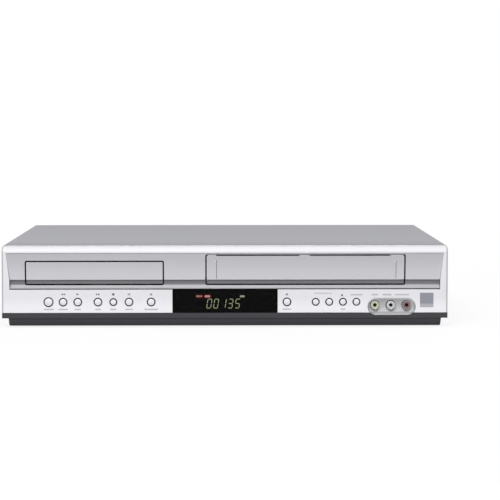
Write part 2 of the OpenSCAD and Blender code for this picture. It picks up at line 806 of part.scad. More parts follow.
// ---- disc drive ----
module drive_frame() color("black") {
    leg_y = [frame_y0 + 10, frame_y1 - leg_back];
    difference() {
        union() {
            box(disc_x - frame_half, disc_x + frame_half, frame_y0, frame_y1,
                frame_floor, frame_floor + frame_floor_t);
            for (s = [-1, 1]) {
                x = disc_x + s * (frame_half - frame_wall / 2);
                box(x - frame_wall / 2, x + frame_wall / 2, frame_y0, frame_y1,
                    frame_floor, frame_top);
                lx = disc_x + s * (frame_in - 2);
                box(lx - 2 - eps, lx + 2 + eps, frame_y0, frame_y1, frame_floor + 1, tray_z - 0.3);
                for (y = [frame_y0 + 2, disc_y - 6, frame_y1 - 14])
                    box(lx - 2 - eps, lx + 2 + eps, y, y + 12, tray_top_z + 0.3, tray_top_z + 2);
            }
            box(disc_x - frame_half, disc_x + frame_half, frame_y1 - frame_wall, frame_y1,
                frame_floor, tray_top_z - 6);
            for (s = [-1, 1], y = leg_y)
                rod_up(leg_r, disc_x + s * frame_leg_x, y, floor_z, frame_floor + eps);
            for (s = [-1, 1])
                box(disc_x + s * 44 - 4, disc_x + s * 44 + 4, trav_pin_y - 4, trav_pin_y + 4,
                    frame_floor, trav_pin_z + 4);
        }
        box(disc_x - window_half + 1, disc_x + window_half - 1, trav_y0 - 8, frame_y1 - 8,
            frame_floor - 1, frame_floor + frame_floor_t + 1);
        rod_along_x(trav_pin_r + pin_fit, disc_x - 60, disc_x + 60, trav_pin_y, trav_pin_z);
        rod_up(axle_r + 1.2, motor_x, motor_y, frame_floor - 1, level_a);
    }
    rod_up(axle_r, tray_gear_x, tray_gear_y, frame_floor + 1, level_c + gear_t - 0.2);
    rod_up(axle_r + 1.5, tray_gear_x, tray_gear_y, frame_floor + 1, level_b - 0.1);
    rod_up(axle_r, idler_x, idler_y, frame_floor + 1, level_b + gear_t - 0.2);
    rod_up(axle_r + 1.5, idler_x, idler_y, frame_floor + 1, level_a - 0.1);
}

module disc_tray() color("dimgray") {
    pitch = PI * gear_m;
    back = 4;
    rack_y0 = tray_gear_y - pitch * 3;
    teeth = min(ceil((tray_travel + 12) / pitch) + 3, floor((tray_y1 - rack_y0) / pitch));
    difference() {
        union() {
            box(disc_x - tray_half, disc_x + tray_half, tray_y0, tray_y1, tray_plate_z, tray_top_z);
            for (s = [-1, 1])
                box(disc_x + s * (tray_half - 1.5) - 1.5, disc_x + s * (tray_half - 1.5) + 1.5,
                    tray_y0, tray_y1, tray_z, tray_plate_z + eps);
            rack(rack_y0, teeth, pitch, back);
        }
        rod_up(disc_r + 1, disc_x, disc_y, tray_top_z - dish_depth, tray_top_z + 1);
        rod_up(40, disc_x, disc_y, tray_top_z - dish_depth - 0.6, tray_top_z + 1);
        box(disc_x - slot_half, disc_x + slot_half, disc_y, tray_y1 + 1, tray_z - 1, tray_top_z + 1);
        rod_up(slot_half, disc_x, disc_y, tray_z - 1, tray_top_z + 1);
    }
}

// straight teeth facing -x, a gap level with the gear centre
module rack(y0, teeth, pitch, back) {
    tip = 0.85 * gear_m;
    root = 1.2 * gear_m;
    half_pitch = pitch / 4 - backlash / 4;
    slope = tan(20);
    y1 = y0 + teeth * pitch;
    translate([0, 0, level_c]) linear_extrude(tray_plate_z + eps - level_c) union() {
        translate([rack_x + root, y0 - pitch / 2]) square([back, y1 - y0 + pitch / 2]);
        for (i = [0 : teeth - 1]) {
            y = y0 + (i + 0.5) * pitch;
            polygon([
                [rack_x - tip, y - half_pitch + tip * slope],
                [rack_x - tip, y + half_pitch - tip * slope],
                [rack_x + root + eps, y + half_pitch + root * slope],
                [rack_x + root + eps, y - half_pitch - root * slope]]);
        }
    }
}

module tray_door() color("darkgray") {
    intersection() {
        along_x(disc_x - door_w / 2, disc_x + door_w / 2) shell_section(door_z, door_z + door_h);
        along_y(front_y - 1, front_y + 20) door_outline(disc_x, door_w, door_h, -door_seam / 2);
    }
    for (s = [-1, 1])
        box(disc_x + s * 40 - 5, disc_x + s * 40 + 5, face_y(tray_plate_z) + 1, tray_y0,
            tray_z, tray_top_z + 2);
}

module tray_gear() color("white") difference() {
    union() {
        gear(tray_teeth, tray_gear_x, tray_gear_y, level_c, gear_t, 0, true);
        gear(tray_wheel, tray_gear_x, tray_gear_y, level_b, gear_t, train_a, false);
        rod_up(axle_r + 2, tray_gear_x, tray_gear_y, level_b, level_c + eps);
    }
    rod_up(axle_r + pin_fit, tray_gear_x, tray_gear_y, level_b - 1, level_c + gear_t + 1);
}

module idler_gear() color("white") difference() {
    union() {
        gear(small_teeth, idler_x, idler_y, level_b, gear_t, train_a + 180, true);
        gear(tray_wheel, idler_x, idler_y, level_a, gear_t, train_b, false);
        rod_up(axle_r + 1.2, idler_x, idler_y, level_a, level_b + eps);
    }
    rod_up(axle_r + pin_fit, idler_x, idler_y, level_a - 1, level_b + gear_t + 1);
}

module motor_pinion() color("white") difference() {
    gear(small_teeth, motor_x, motor_y, level_a, gear_t, train_b + 180, true);
    rod_up(1 + pin_fit, motor_x, motor_y, level_a - 1, level_a + gear_t + 1);
}

module tray_motor() color("silver") {
    top = frame_floor - 0.1;
    rod_up(motor_r, motor_x, motor_y, top - motor_h, top);
    rod_up(axle_r + 1, motor_x, motor_y, top - eps, frame_floor + frame_floor_t - 0.4);
    rod_up(1, motor_x, motor_y, top - eps, level_a + gear_t + 0.2);
}

module traverse_plate() color("silver") {
    bottom = trav_z;
    difference() {
        union() {
            box(disc_x - trav_half, disc_x + trav_half, trav_y0, trav_y1, bottom, bottom + trav_t);
            for (s = [-1, 1]) {
                box(disc_x + s * 36.8 - 1.2, disc_x + s * 36.8 + 1.2, trav_pin_y - 4,
                    trav_pin_y + 4, bottom, trav_pin_z + 3);
                for (y = [sled_y - 13, trav_y1 - 8])
                    box(disc_x + s * rod_x - 3, disc_x + s * rod_x + 3, y, y + 4,
                        bottom, rod_z + 2.4);
            }
            box(disc_x + screw_x - 3, disc_x + screw_x + 3, trav_y1 - 8, trav_y1 - 4,
                bottom, rod_z + 2.4);
            rod_along_x(trav_pin_r, disc_x - 47, disc_x - 36, trav_pin_y, trav_pin_z);
            rod_along_x(trav_pin_r, disc_x + 36, disc_x + 47, trav_pin_y, trav_pin_z);
        }
        box(disc_x - 22, disc_x + 22, sled_y - 8, trav_y1 - 12, bottom - 1, bottom + 2);
        for (s = [-1, 1])
            rod_along_y(rod_r, disc_x + s * rod_x, sled_y - 13 + 1, trav_y1 - 5, rod_z);
        rod_along_y(screw_r / 2 + pin_fit, disc_x + screw_x, trav_y1 - 9, trav_y1 - 3, rod_z);
    }
}

module spindle_motor() color("gray") {
    z0 = trav_z + trav_t;
    difference() {
        rod_up(spindle_r, disc_x, disc_y, z0, z0 + spindle_h);
        rod_up(1.2 + pin_fit, disc_x, disc_y, z0 + 0.5, z0 + spindle_h + 1);
    }
}

module turntable() color("dimgray") {
    z0 = trav_z + trav_t + spindle_h + 0.4;
    rod_up(table_r, disc_x, disc_y, z0, seat_z);
    translate([disc_x, disc_y, seat_z - eps])
        cylinder(r1 = hub_r, r2 = hub_r - 1.6, h = 2, $fn = round_fn);
    rod_up(1.2, disc_x, disc_y, z0 - spindle_h + 0.4, z0 + eps);
}

module optical_pickup() color("dimgray") {
    z0 = trav_z + trav_t + 0.5;
    z1 = tray_plate_z - 0.6;
    y0 = sled_y - 8;
    y1 = sled_y + 14;
    lens_r = 3.6;
    difference() {
        union() {
            box(disc_x - 21, disc_x + 21, y0, y1, z0, z1);
            for (s = [-1, 1])
                box(disc_x + s * rod_x - 3.4, disc_x + s * rod_x + 3.4, y0 + 3, y1 - 3,
                    rod_z - 2.2, rod_z + 2.6);
            box(disc_x + 20, disc_x + 24, y0 + 3, y1 - 3, rod_z - 2, rod_z + 2.6);
            box(disc_x - 24, disc_x - 20, y0 + 3, y1 - 3, rod_z - 2, rod_z + 2.6);
            box(disc_x + rod_x, disc_x + screw_x - screw_r - fit, sled_y - 2, sled_y + 6,
                rod_z - 1.5, rod_z + 1.5);
            box(disc_x - 6, disc_x + 6, sled_y - 5, sled_y + 8, z1 - eps, z1 + 1.2);
            rod_up(lens_r, disc_x, sled_y, z1, z1 + 2);
        }
        for (s = [-1, 1])
            rod_along_y(rod_r + pin_fit, disc_x + s * rod_x, y0 - 1, y1 + 1, rod_z);
        rod_up(lens_r - 1.4, disc_x, sled_y, z1 + 1.5, z1 + 3);
    }
}

module guide_rods() color("silver")
    for (s = [-1, 1])
        rod_along_y(rod_r, disc_x + s * rod_x, sled_y - 13 + 1, trav_y1 - 5, rod_z);

module lead_screw() color("gray") {
    y0 = sled_y - 11;
    y1 = trav_y1 - 8.3;
    x = disc_x + screw_x;
    difference() {
        rod_along_y(screw_r, x, y0, y1, rod_z);
        for (i = [0 : 22])
            translate([x, y0 + 6 + i * 2, rod_z]) rotate([-90, 0, 0]) difference() {
                cylinder(r = screw_r + 1, h = 0.7, $fn = round_fn);
                cylinder(r = screw_r - 0.35, h = 2, center = true, $fn = round_fn);
            }
    }
    rod_along_y(screw_r / 2, x, y1 - eps, trav_y1 - 5, rod_z);
    rod_along_y(screw_r / 2, x, y0 - 3, y0 + eps, rod_z);
}

module sled_motor() color("silver") {
    x = disc_x + screw_x;
    y1 = sled_y - 11.3;
    r = rod_z - trav_z - trav_t;
    difference() {
        union() {
            rod_along_y(r, x, y1 - 14, y1, rod_z);
            box(x - r, x + r, y1 - 14, y1, trav_z + trav_t, rod_z);
        }
        rod_along_y(screw_r / 2 + pin_fit, x, y1 - 4, y1 + 1, rod_z);
    }
}

module clamp_bridge() color("silver") difference() {
    union() {
        box(disc_x - frame_half, disc_x + frame_half, disc_y - 11, disc_y + 11,
            bridge_z, bridge_z + bridge_t);
        rod_up(22, disc_x, disc_y, bridge_z, bridge_z + bridge_t);
    }
    rod_up(puck_r + 1, disc_x, disc_y, bridge_z - 1, bridge_z + bridge_t + 1);
}

module clamp_puck() color("dimgray") {
    top = bridge_z + bridge_t + fit;
    rod_up(puck_r, disc_x, disc_y, seat_z + 3.4, top + eps);
    rod_up(puck_r + 3.6, disc_x, disc_y, top, top + 1.6);
    rod_up(5, disc_x, disc_y, top + 1.6 - eps, top + 2.6);
}

// ---- tape deck ----
module deck_plate() color("silver") {
    y0 = carriage_y0 + 3;
    y1 = drum_y + 44;
    leg_x = deck_half - 9;
    difference() {
        union() {
            box(tape_x - deck_half, tape_x + deck_half, y0, y1, deck_z, deck_top);
            for (s = [-1, 1], y = [y0 + 8, y1 - 8])
                rod_up(4, tape_x + s * leg_x, y, floor_z, deck_z + eps);
            rod_up(4, capstan_x, capstan_y, deck_z - 3, deck_top + 3.9);
            for (s = [-1, 1])
                rod_up(4, tape_x + s * reel_x, reel_y, deck_top - eps, deck_top + 2);
            for (s = [-1, 1])
                rod_up(2, tape_x + s * reel_x, reel_y, deck_top - eps, deck_top + 11);
            rod_up(3.5, arm_x, arm_y, deck_top - eps, deck_top + 4);
            rod_up(2, arm_x, arm_y, deck_top - eps, deck_top + 12);
            for (s = [-1, 1])
                box(tape_x + s * 88 - 2, tape_x + s * 88 + 2, lead_y - 34, lead_y - 30,
                    deck_top - eps, hold_z0 - carriage_drop - 2);
        }
        rod_up(capstan_r + pin_fit, capstan_x, capstan_y, deck_z - 4, deck_top + 9);
        for (s = [-1, 1]) guide_slot(s);
    }
}

module guide_slot(s)
    translate([tape_x + s * guide_x, guide_y, deck_z - 1]) rotate([0, 0, -s * guide_angle])
        linear_extrude(deck_t + 2) {
            translate([-guide_slot_r, 0]) square([2 * guide_slot_r, guide_len]);
            for (y = [0, guide_len]) translate([0, y]) circle(r = guide_slot_r, $fn = small_fn);
        }

module lower_drum() color("silver") difference() {
    union() {
        rod_up(drum_r, tape_x, drum_y, deck_top + 2, drum_split);
        rod_up(drum_r + 5, tape_x, drum_y, deck_top, deck_top + 2 + eps);
    }
    rod_up(3 + pin_fit, tape_x, drum_y, deck_top + 2, drum_split + 1);
}

module upper_drum() color("lightgray") difference() {
    z0 = drum_split + 0.35;
    union() {
        rod_up(drum_r, tape_x, drum_y, z0, drum_top);
        rod_up(3, tape_x, drum_y, deck_top + 4, z0 + eps);
        rod_up(12, tape_x, drum_y, drum_top - eps, drum_top + 2);
    }
    for (a = [0, 180])
        translate([tape_x, drum_y, z0 - 1]) rotate([0, 0, a])
            translate([drum_r - 2, -2, 0]) cube([3, 4, 3]);
    rod_up(8, tape_x, drum_y, drum_top + 0.8, drum_top + 3);
}

module capstan() color("silver") {
    rod_up(capstan_r, capstan_x, capstan_y, wheel_z, deck_top + 24);
    rod_up(flywheel_r, capstan_x, capstan_y, wheel_z, deck_z - 4);
}

module pinch_arm() color("gray") {
    z0 = deck_top + 4.3;
    difference() {
        union() {
            rod_up(4.2, arm_x, arm_y, z0, z0 + 6);
            translate([arm_x, arm_y, z0]) rotate([0, 0, arm_rest])
                translate([0, -2.5, 0]) cube([arm_len, 5, 1.6]);
            rod_up(2.5, roller_x, roller_y, z0, z0 + 1.6);
            rod_up(1.4, roller_x, roller_y, z0, z0 + 18);
        }
        rod_up(2 + pin_fit, arm_x, arm_y, z0 - 1, z0 + 7);
    }
}

module pinch_roller() color("black") difference() {
    z0 = deck_top + 6.3;
    rod_up(roller_r, roller_x, roller_y, z0, z0 + 14);
    rod_up(1.4 + pin_fit, roller_x, roller_y, z0 - 1, z0 + 15);
}

module reel_table(x) {
    z0 = deck_top + 2.3;
    difference() {
        union() {
            rod_up(reel_r, x, reel_y, z0, z0 + 2.4);
            rod_up(4.6, x, reel_y, z0, z0 + 9);
            translate([x, reel_y, z0 + 9 - eps])
                cylinder(r1 = 4.6, r2 = 3, h = 2, $fn = round_fn);
            for (a = [0, 120, 240])
                translate([x, reel_y, z0]) rotate([0, 0, a])
                    translate([0, -1, 0]) cube([6.6, 2, 8]);
        }
        rod_up(2 + pin_fit, x, reel_y, z0 - 1, z0 + 9.2);
    }
}

module supply_reel() color("black") reel_table(tape_x - reel_x);
module takeup_reel() color("black") reel_table(tape_x + reel_x);

module guide_base(s) {
    x = tape_x + s * guide_x;
    z0 = deck_top + 0.3;
    translate([x, guide_y, z0]) rotate([0, 0, -s * guide_angle])
        translate([-5, -6, 0]) cube([10, 12, 3]);
    rod_up(guide_pin_r, x, guide_y, deck_z - 1.5, z0 + eps);
    rod_up(3.4, x, guide_y, deck_z - 2.5, deck_z - 0.3);
    rod_up(2.6, x, guide_y, z0, z0 + 19);
    rod_up(3.4, x, guide_y, z0 + 18.9, z0 + 21);
}

module guide_left() color("silver") guide_base(-1);
module guide_right() color("silver") guide_base(1);

module carriage_frame() color("lightgray") {
    y0 = carriage_y0 + 2;
    y1 = lead_y + 4;
    rail_z1 = hold_z1 + 4;
    slot_r = pin_r + pin_fit;
    for (s = [-1, 1]) {
        x = tape_x + s * (rail_in + rail_t / 2);
        difference() {
            box(x - rail_t / 2, x + rail_t / 2, y0, y1, deck_top, rail_z1 + 1.2);
            along_x(x - 2, x + 2)
                slot_outline(carriage_y0 + 7 - 0.5, carriage_y1 - 7 + carriage_travel + 0.5,
                    slide_pin_z, slot_r);
            box(x - 2, x + 2, y0 + 14, y1 - 14, deck_top + 10, slide_pin_z - 10);
        }
    }
    box(tape_x - rail_in - rail_t, tape_x + rail_in + rail_t, y0, y0 + 12, rail_z1, rail_z1 + 1.2);
    box(tape_x - rail_in - rail_t, tape_x + rail_in + rail_t, y1 - 8, y1, rail_z1, rail_z1 + 1.2);
}

module slot_outline(y0, y1, z, r) {
    translate([y0, z - r]) square([y1 - y0, 2 * r]);
    for (y = [y0, y1]) translate([y, z]) circle(r = r, $fn = round_fn);
}

module carriage_slider() color("gray") {
    z1 = hold_z1 + 2.6;
    z0 = hold_pin_z - carriage_drop - 6;
    slot_r = pin_r + pin_fit;
    for (s = [-1, 1]) {
        x = tape_x + s * (slide_in + slide_t / 2);
        difference() {
            box(x - slide_t / 2, x + slide_t / 2, carriage_y0, carriage_y1, z0, z1);
            for (y = [carriage_y0 + 7, carriage_y1 - 7])
                along_x(x - 2, x + 2) {
                    translate([y - slot_r, hold_pin_z - carriage_drop - 0.5])
                        square([2 * slot_r, carriage_drop + 1]);
                    for (z = [hold_pin_z - carriage_drop - 0.5, hold_pin_z + 0.5])
                        translate([y, z]) circle(r = slot_r, $fn = round_fn);
                }
        }
        for (y = [carriage_y0 + 7, carriage_y1 - 7])
            rod_along_x(pin_r, x + s * 1.5 - 1.5, x + s * 1.5 + 1.5, y, slide_pin_z);
    }
    box(tape_x - slide_in - eps, tape_x + slide_in + eps, carriage_y1 - 14, carriage_y1 - 4,
        z1 - 1.2, z1);
}

module cassette_holder() color("silver") {
    out = hold_in + hold_t;
    lip = 12;
    for (s = [-1, 1]) {
        x = tape_x + s * (hold_in + hold_t / 2);
        box(x - hold_t / 2, x + hold_t / 2, carriage_y0, carriage_y1,
            hold_z0 - hold_t, hold_z1 + hold_t);
        lx = tape_x + s * (out - lip / 2);
        box(lx - lip / 2, lx + lip / 2, carriage_y0, carriage_y1, hold_z0 - hold_t, hold_z0);
        for (y = [carriage_y0 + 7, carriage_y1 - 7])
            rod_along_x(pin_r, x + s * 0.9 - 0.9, x + s * 0.9 + 0.9, y, hold_pin_z);
    }
    difference() {
        box(tape_x - out, tape_x + out, carriage_y0, carriage_y1, hold_z1, hold_z1 + hold_t);
        for (s = [-1, 1])
            box(tape_x + s * 45 - 24, tape_x + s * 45 + 24, carriage_y0 + 8, carriage_y1 - 18,
                hold_z1 - 1, hold_z1 + 2);
    }
    for (s = [-1, 1])
        box(tape_x + s * (hold_in - 3) - 3, tape_x + s * (hold_in - 3) + 3,
            carriage_y1 - 1, carriage_y1, hold_z1 - 8, hold_z1 + eps);
}

// ---- boards and rear sockets ----
// a flat part standing on the main board, placed from the board's corner
module chip(x, y, w, d, h)
    box(main_x0 + x, main_x0 + x + w, main_y0 + y, main_y0 + y + d, board_z1 - eps, board_z1 + h);

module main_board() color("darkgreen") {
    difference() {
        union() {
            box(main_x0, main_x1, main_y0, main_y1, stand_z, board_z1);
            chip(55, 118, 28, 28, 2.4);
            chip(100, 88, 20, 20, 2.2);
            chip(15, 98, 14, 40, 6);
            for (p = [[45, 168], [57, 168], [95, 138], [107, 138], [125, 168]])
                rod_up(can_r, main_x0 + p[0], main_y0 + p[1], board_z1 - eps, board_z1 + can_h);
            for (i = [0 : 3])
                chip(45 + i * 20, 38, 14, 6, 7);
        }
        for (s = [-1, 1])
            rod_up(leg_r + 1, disc_x + s * frame_leg_x, frame_y1 - leg_back, stand_z - 1, board_z1 + 1);
    }
}

module power_board() color("tan") {
    y = power_y0;
    box(power_x0, power_x1, y, main_y1, stand_z, board_z1);
    box(power_x0 + 40, power_x0 + 70, y + 25, y + 55, board_z1 - eps, board_z1 + 26);
    rod_up(9, power_x0 + 96, y + 24, board_z1 - eps, board_z1 + 32);
    for (i = [0 : 3])
        rod_up(5, power_x0 + 14, y + 14 + i * 14, board_z1 - eps, board_z1 + 20);
    box(power_x0 + 76, power_x0 + 79, y + 22, y + 62, board_z1 - eps, board_z1 + 30);
    box(power_x0 + 26, power_x0 + 29, y + 18, y + 66, board_z1 - eps, board_z1 + 30);
    box(power_x0 + 112, power_x0 + 134, y + 12, y + 30, board_z1 - eps, board_z1 + 18);
}

module rear_jacks() color("black") difference() {
    x0 = rca_x - 7.4;
    x1 = rca_x + (rca_cols - 1) * rca_pitch + 7.4;
    tip = rear_tip - 1;
    union() {
        box(x0, x1, panel_y0 - 12, panel_y0 - 0.1, board_z1 + 0.1, rca_rows[1] + 8);
        for (i = [0 : rca_cols - 1], z = rca_rows)
            rod_along_y(jack_r, rca_x + i * rca_pitch, panel_y0 - 1, tip, z);
    }
    for (i = [0 : rca_cols - 1], z = rca_rows) {
        rod_along_y(jack_bore, rca_x + i * rca_pitch, tip - 9, tip + 1, z);
        rod_along_y(jack_ring, rca_x + i * rca_pitch, tip - 0.4, tip + 1, z);
    }
}

module tuner() color("silver") difference() {
    union() {
        box(tuner_x0, tuner_x1, panel_y0 - 60, panel_y0 - 0.1, board_z1 + 0.1, board_z1 + tuner_h);
        for (z = coax_z)
            rod_along_y(coax_r, coax_x, panel_y0 - 1, rear_tip, z);
    }
    for (z = coax_z)
        rod_along_y(1.2, coax_x, rear_tip - 9, rear_tip + 1, z);
}

module ac_inlet() color("black") difference() {
    depth = 9;
    union() {
        along_y(panel_y0 - 8, panel_y1 + 1.4)
            round_rect(inlet_x - 11, inlet_x + 11, inlet_z - 6.5, inlet_z + 6.5, 3);
        box(inlet_x - 13, inlet_x + 13, panel_y0 - 8, panel_y0 - 0.2, board_z1 + 0.1, inlet_z + 8.5);
    }
    difference() {
        along_y(panel_y1 + 1.4 - depth, panel_y1 + 2) {
            for (s = [-1, 1]) translate([inlet_x + s * 4.3, inlet_z]) circle(r = 4.1, $fn = round_fn);
            translate([inlet_x - 4.3, inlet_z - 3]) square([8.6, 6]);
        }
        for (s = [-1, 1])
            rod_along_y(1.15, inlet_x + s * 4.3, panel_y1 - depth, panel_y1 - 1.5, inlet_z);
    }
}

top_cover();
bottom_chassis();
rear_panel();
front_bezel();
decor_panel();
plinth_trim();
display_window();
jack_escutcheon();
feet();
case_screws();
power_button();
rewind_button();
play_button();
forward_button();
stop_button();
pause_button();
disc_eject_button();
tape_eject_button();
channel_down_button();
channel_up_button();
record_button();
source_button();
tape_door();
front_board();
display_module();
front_jacks();
drive_frame();
disc_tray();
tray_door();
tray_gear();
idler_gear();
motor_pinion();
tray_motor();
traverse_plate();
spindle_motor();
turntable();
optical_pickup();
guide_rods();
lead_screw();
sled_motor();
clamp_bridge();
clamp_puck();
deck_plate();
lower_drum();
upper_drum();
capstan();
pinch_arm();
pinch_roller();
supply_reel();
takeup_reel();
guide_left();
guide_right();
carriage_frame();
carriage_slider();
cassette_holder();
main_board();
power_board();
rear_jacks();
tuner();
ac_inlet();
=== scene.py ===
"""Disc and tape combination player: finishes, marks, sockets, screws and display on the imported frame."""

import json
import math

import bmesh
import bpy
from mathutils import Matrix, Vector


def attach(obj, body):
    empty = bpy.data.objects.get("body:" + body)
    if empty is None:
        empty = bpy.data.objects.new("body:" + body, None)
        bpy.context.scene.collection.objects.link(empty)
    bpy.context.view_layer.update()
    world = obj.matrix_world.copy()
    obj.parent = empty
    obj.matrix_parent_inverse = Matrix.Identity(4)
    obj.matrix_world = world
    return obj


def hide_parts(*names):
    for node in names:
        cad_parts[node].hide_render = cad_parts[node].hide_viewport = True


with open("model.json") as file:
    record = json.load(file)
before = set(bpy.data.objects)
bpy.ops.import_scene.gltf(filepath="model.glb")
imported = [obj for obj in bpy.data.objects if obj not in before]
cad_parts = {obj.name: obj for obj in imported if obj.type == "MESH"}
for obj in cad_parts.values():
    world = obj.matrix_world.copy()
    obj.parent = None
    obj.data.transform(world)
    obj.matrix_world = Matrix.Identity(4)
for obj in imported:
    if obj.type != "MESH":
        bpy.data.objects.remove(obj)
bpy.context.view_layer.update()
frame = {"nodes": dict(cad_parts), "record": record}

MM = 0.001

# ---- places that the finishes follow, in metres ----
FRONT_Y = -0.170
GROOVE_R = 0.0049
GROOVE_Z = 0.0424
GROOVE_TOP_Z = 0.0462
PANEL_TOP_Y = -0.1696
PANEL_TOP_Z = 0.0721
PANEL_LEAN = 0.1040
BOARD_TOP_Z = 0.01512

# ---- front print, in millimetres ----
PRINT_T = 0.06
PRINT_SINK = 0.01
PRINT_Y = FRONT_Y / MM + PRINT_SINK
BUTTON_X = (-170.9, -156.8, -142.6, -123.1, -108.2, -93.0, -71.6, 60.0, 87.9, 101.0, 114.3, 127.4)
BUTTON_Z = 24.75
BUTTON_HOLE_R = (4.75, 4.15, 4.15, 4.15, 3.75, 4.15, 4.15, 4.15, 3.75, 3.75, 3.75, 3.75)
# A thin ring of painted shadow round each button's opening.
SHADOW_RIM_W = 0.15
SHADOW_RIM_SEGMENTS = 40
SYMBOL_Z = 32.3
PAIR_SIZE = 1.9
PAIR_SHIFTS = (-1.1, 0.9)
PLAY_SIZE = 2.2
STOP_HALF = 1.1
PAUSE_HALF_W = 0.35
PAUSE_SHIFTS = (-0.75, 0.75)
EJECT_HALF = 1.2
EJECT_FOOT = -0.2
EJECT_TIP = 1.1
EJECT_BAR = (-1.0, -0.5)
RECORD_R = 1.0
RECORD_SHIFT = (-0.8, -1.1)
RULE_Z = 17.7
RULE_HALF_H = 0.65
RULE_HALF_W = (5.0, 4.5, 3.0, 3.0, 3.1, 3.9, 6.7, 4.2, 0, 0, 2.3, 0)
# A rule over the sockets is its left and right ends, its height and half its width.
SOCKET_RULES = (
    (86.5, 103.5, 33.2, 0.45),
    (121.5, 133.5, 31.7, 0.7),
    (142.0, 148.5, 31.75, 0.85),
    (152.5, 161.5, 31.75, 0.85),
    (164.5, 178.5, 31.75, 0.7),
)
LABEL_X = (189.1, 202.2)
LABEL_Z = ((22.8, 33.5), (19.4, 22.7))
TAPE_X = 78.0
# Painted highlights at the tops of the tape door's moulded lines.
DOOR_GLINT_X = (TAPE_X - 87.9, TAPE_X + 87.0)
DOOR_GLINT_Y = -168.79
DOOR_GLINT_Z = 64.2
DOOR_GLINT_R = 0.55

# ---- display, in millimetres ----
DISPLAY_Y = -165.4
DISPLAY_Z = 22.75
LIT_GAP = 0.02
LIT_Y = DISPLAY_Y - LIT_GAP
LIT_T = 0.1
HALO_T = 0.04
# The bars of a digit: a is the top one, b to f follow clockwise, and g is the middle one.
SEGMENTS = {
    "0": "abcdef",
    "1": "bc",
    "3": "abcdg",
    "5": "acdfg",
}
DIGIT_H = 9.1
DIGIT_W = 4.3
STROKE = 0.38
SEGMENT_GAP = 0.34
SLANT = 0.16
# Each digit and where its middle lies.
DIGITS = (("0", -15.3), ("0", -8.7), ("1", -1.3), ("3", 5.3), ("5", 12.1))
RED_MARK_X = (-27.2, -25.2, -23.1)
RED_MARK_Z = (29.0, 30.8)
RED_MARK_HALF = 0.75
# These marks are their left and right ends, then their lower and upper edges.
PINK_MARK = (-20.0, -14.4, 28.7, 31.0)
RED_HALO = (-29.4, -12.8, 27.3, 32.4)
PALE_MARK = (14.3, 19.1, 28.8, 30.8)

# ---- sockets, in millimetres ----
FRONT_SOCKET_X = (145.2, 160.6, 176.0)
FRONT_SOCKET_Y = -172.0
FRONT_SOCKET_Z = 21.75
SOCKET_BORE_R = 1.7
SOCKET_RING_R = 3.8
SOCKET_RING_DEPTH = 0.4
INSERT_SINK = 0.02
INSERT_SET_BACK = 0.06
INSERT_PLAY = 0.03
INSERT_INNER_ROUND = 0.2
INSERT_OUTER_ROUND = (0.15, 0.12)
REAR_SHEET_Y = 160.2
REAR_TIP_Y = 171.0
REAR_SOCKET_X0 = -188.5
REAR_SOCKET_PITCH = 15.2
REAR_SOCKET_Z = (24.0, 39.0)
# Each column's lower and upper ring.
REAR_COLOURS = (
    ("yellow", "green"),
    ("white", "blue"),
    ("red", "red"),
    ("yellow", "yellow"),
    ("white", "white"),
    ("red", "red"),
    ("orange", "white"),
)
COAX_X = -52.5
COAX_Z = (22.0, 40.0)
COAX_R = 4.75
THREAD_Y = REAR_SHEET_Y + 2.6
THREAD_PITCH = 0.8
THREAD_TURNS = 10
THREAD_CREST = 0.28
THREAD_ROOT = 0.05
THREAD_FOOT = 0.3
THREAD_FLAT = 0.02
THREAD_SEGMENTS = 40
NUT_R = 6.6
NUT_T = 2.2
NUT_Y = REAR_SHEET_Y + 2.3
NUT_ROUND = 0.25

# ---- screws and rear shade screen, in millimetres ----
# A screw is its head's radius and height, its shank's radius and where its tip lies.
COVER_BACK_Y = 161.0
LIP_SCREW_X = (-188.5, -94.25, 0.0, 94.25, 188.5)
LIP_SCREW_Z = 73.0
LIP_SCREW = (3.0, 1.6, 1.4, 155.8)
BOARD_BACK_Y = -156.4
POST_SCREW_X = (-164.3, -82.0, 74.0, 121.0)
POST_SCREW_Z = 31.65
POST_SCREW = (2.6, 1.6, 1.1, -163.4)
HEAD_SIDES = 28
CROWN_SHARE = 0.78
HEAD_STEPS = ((0.92, 0.2), (1.0, 0.55))
ARM_SHARE = 0.62
SLOT_SHARE = 0.17
RECESS_SHARE = 0.6
TIP_SHARE = 0.3
TIP_L = 0.6
# The screen's left and right ends, then its lower and upper edges.
SCREEN = (-22.0, 62.0, 43.2, 71.0)
SCREEN_IN = 0.9
SCREEN_T = 0.5
SCREEN_ROUND = 0.1

# ---- how pieces are made: millimetres and degrees ----
# Points nearer than the weld are joined. An edge that turns by more than these angles counts as sharp.
WELD = 0.0005
ROUND_ANGLE = 35
STEEL_ANGLE = 40

# ---- camera, lamps and floor, in metres, degrees and watts ----
CAMERA_PLACE = (0.00023, -2.01498, 0.21353)
CAMERA_TILT = 85.7132
CAMERA_TURN = -0.743
CAMERA_LENS = 137.714
SENSOR_W = 36.0
LAMP_AIM = (0.0, 0.0, 0.04)
# A lamp is its name, its place, its two sides and its power.
LAMPS = (
    ("key_light", (-0.2, -1.95, 1.75), (1.8, 0.9), 57.0),
    ("back_light", (0.3, 2.0, 0.9), (1.8, 0.9), 21.0),
    ("left_light", (-2.0, 0.5, 0.7), (1.4, 0.8), 8.0),
    ("right_light", (2.0, 0.5, 0.7), (1.4, 0.8), 8.0),
)
# The surround's colour and strength, where it only lights and where it is seen.
AIR_LIGHT = ((0.97, 0.98, 1.0, 1.0), 0.28)
AIR_SEEN = ((1.0, 1.0, 1.0, 1.0), 1.0)
FLOOR_Z = -0.0002
FLOOR_HALF = 6.0
FLOOR_LIT = [0.36, 0.36, 0.36, 1.0]
FLOOR_SEEN = [0.95, 0.95, 0.95, 1.0]
FLOOR_GLOW = 0.85
GLOW_NEAR = 0.35
GLOW_FAR = 1.4

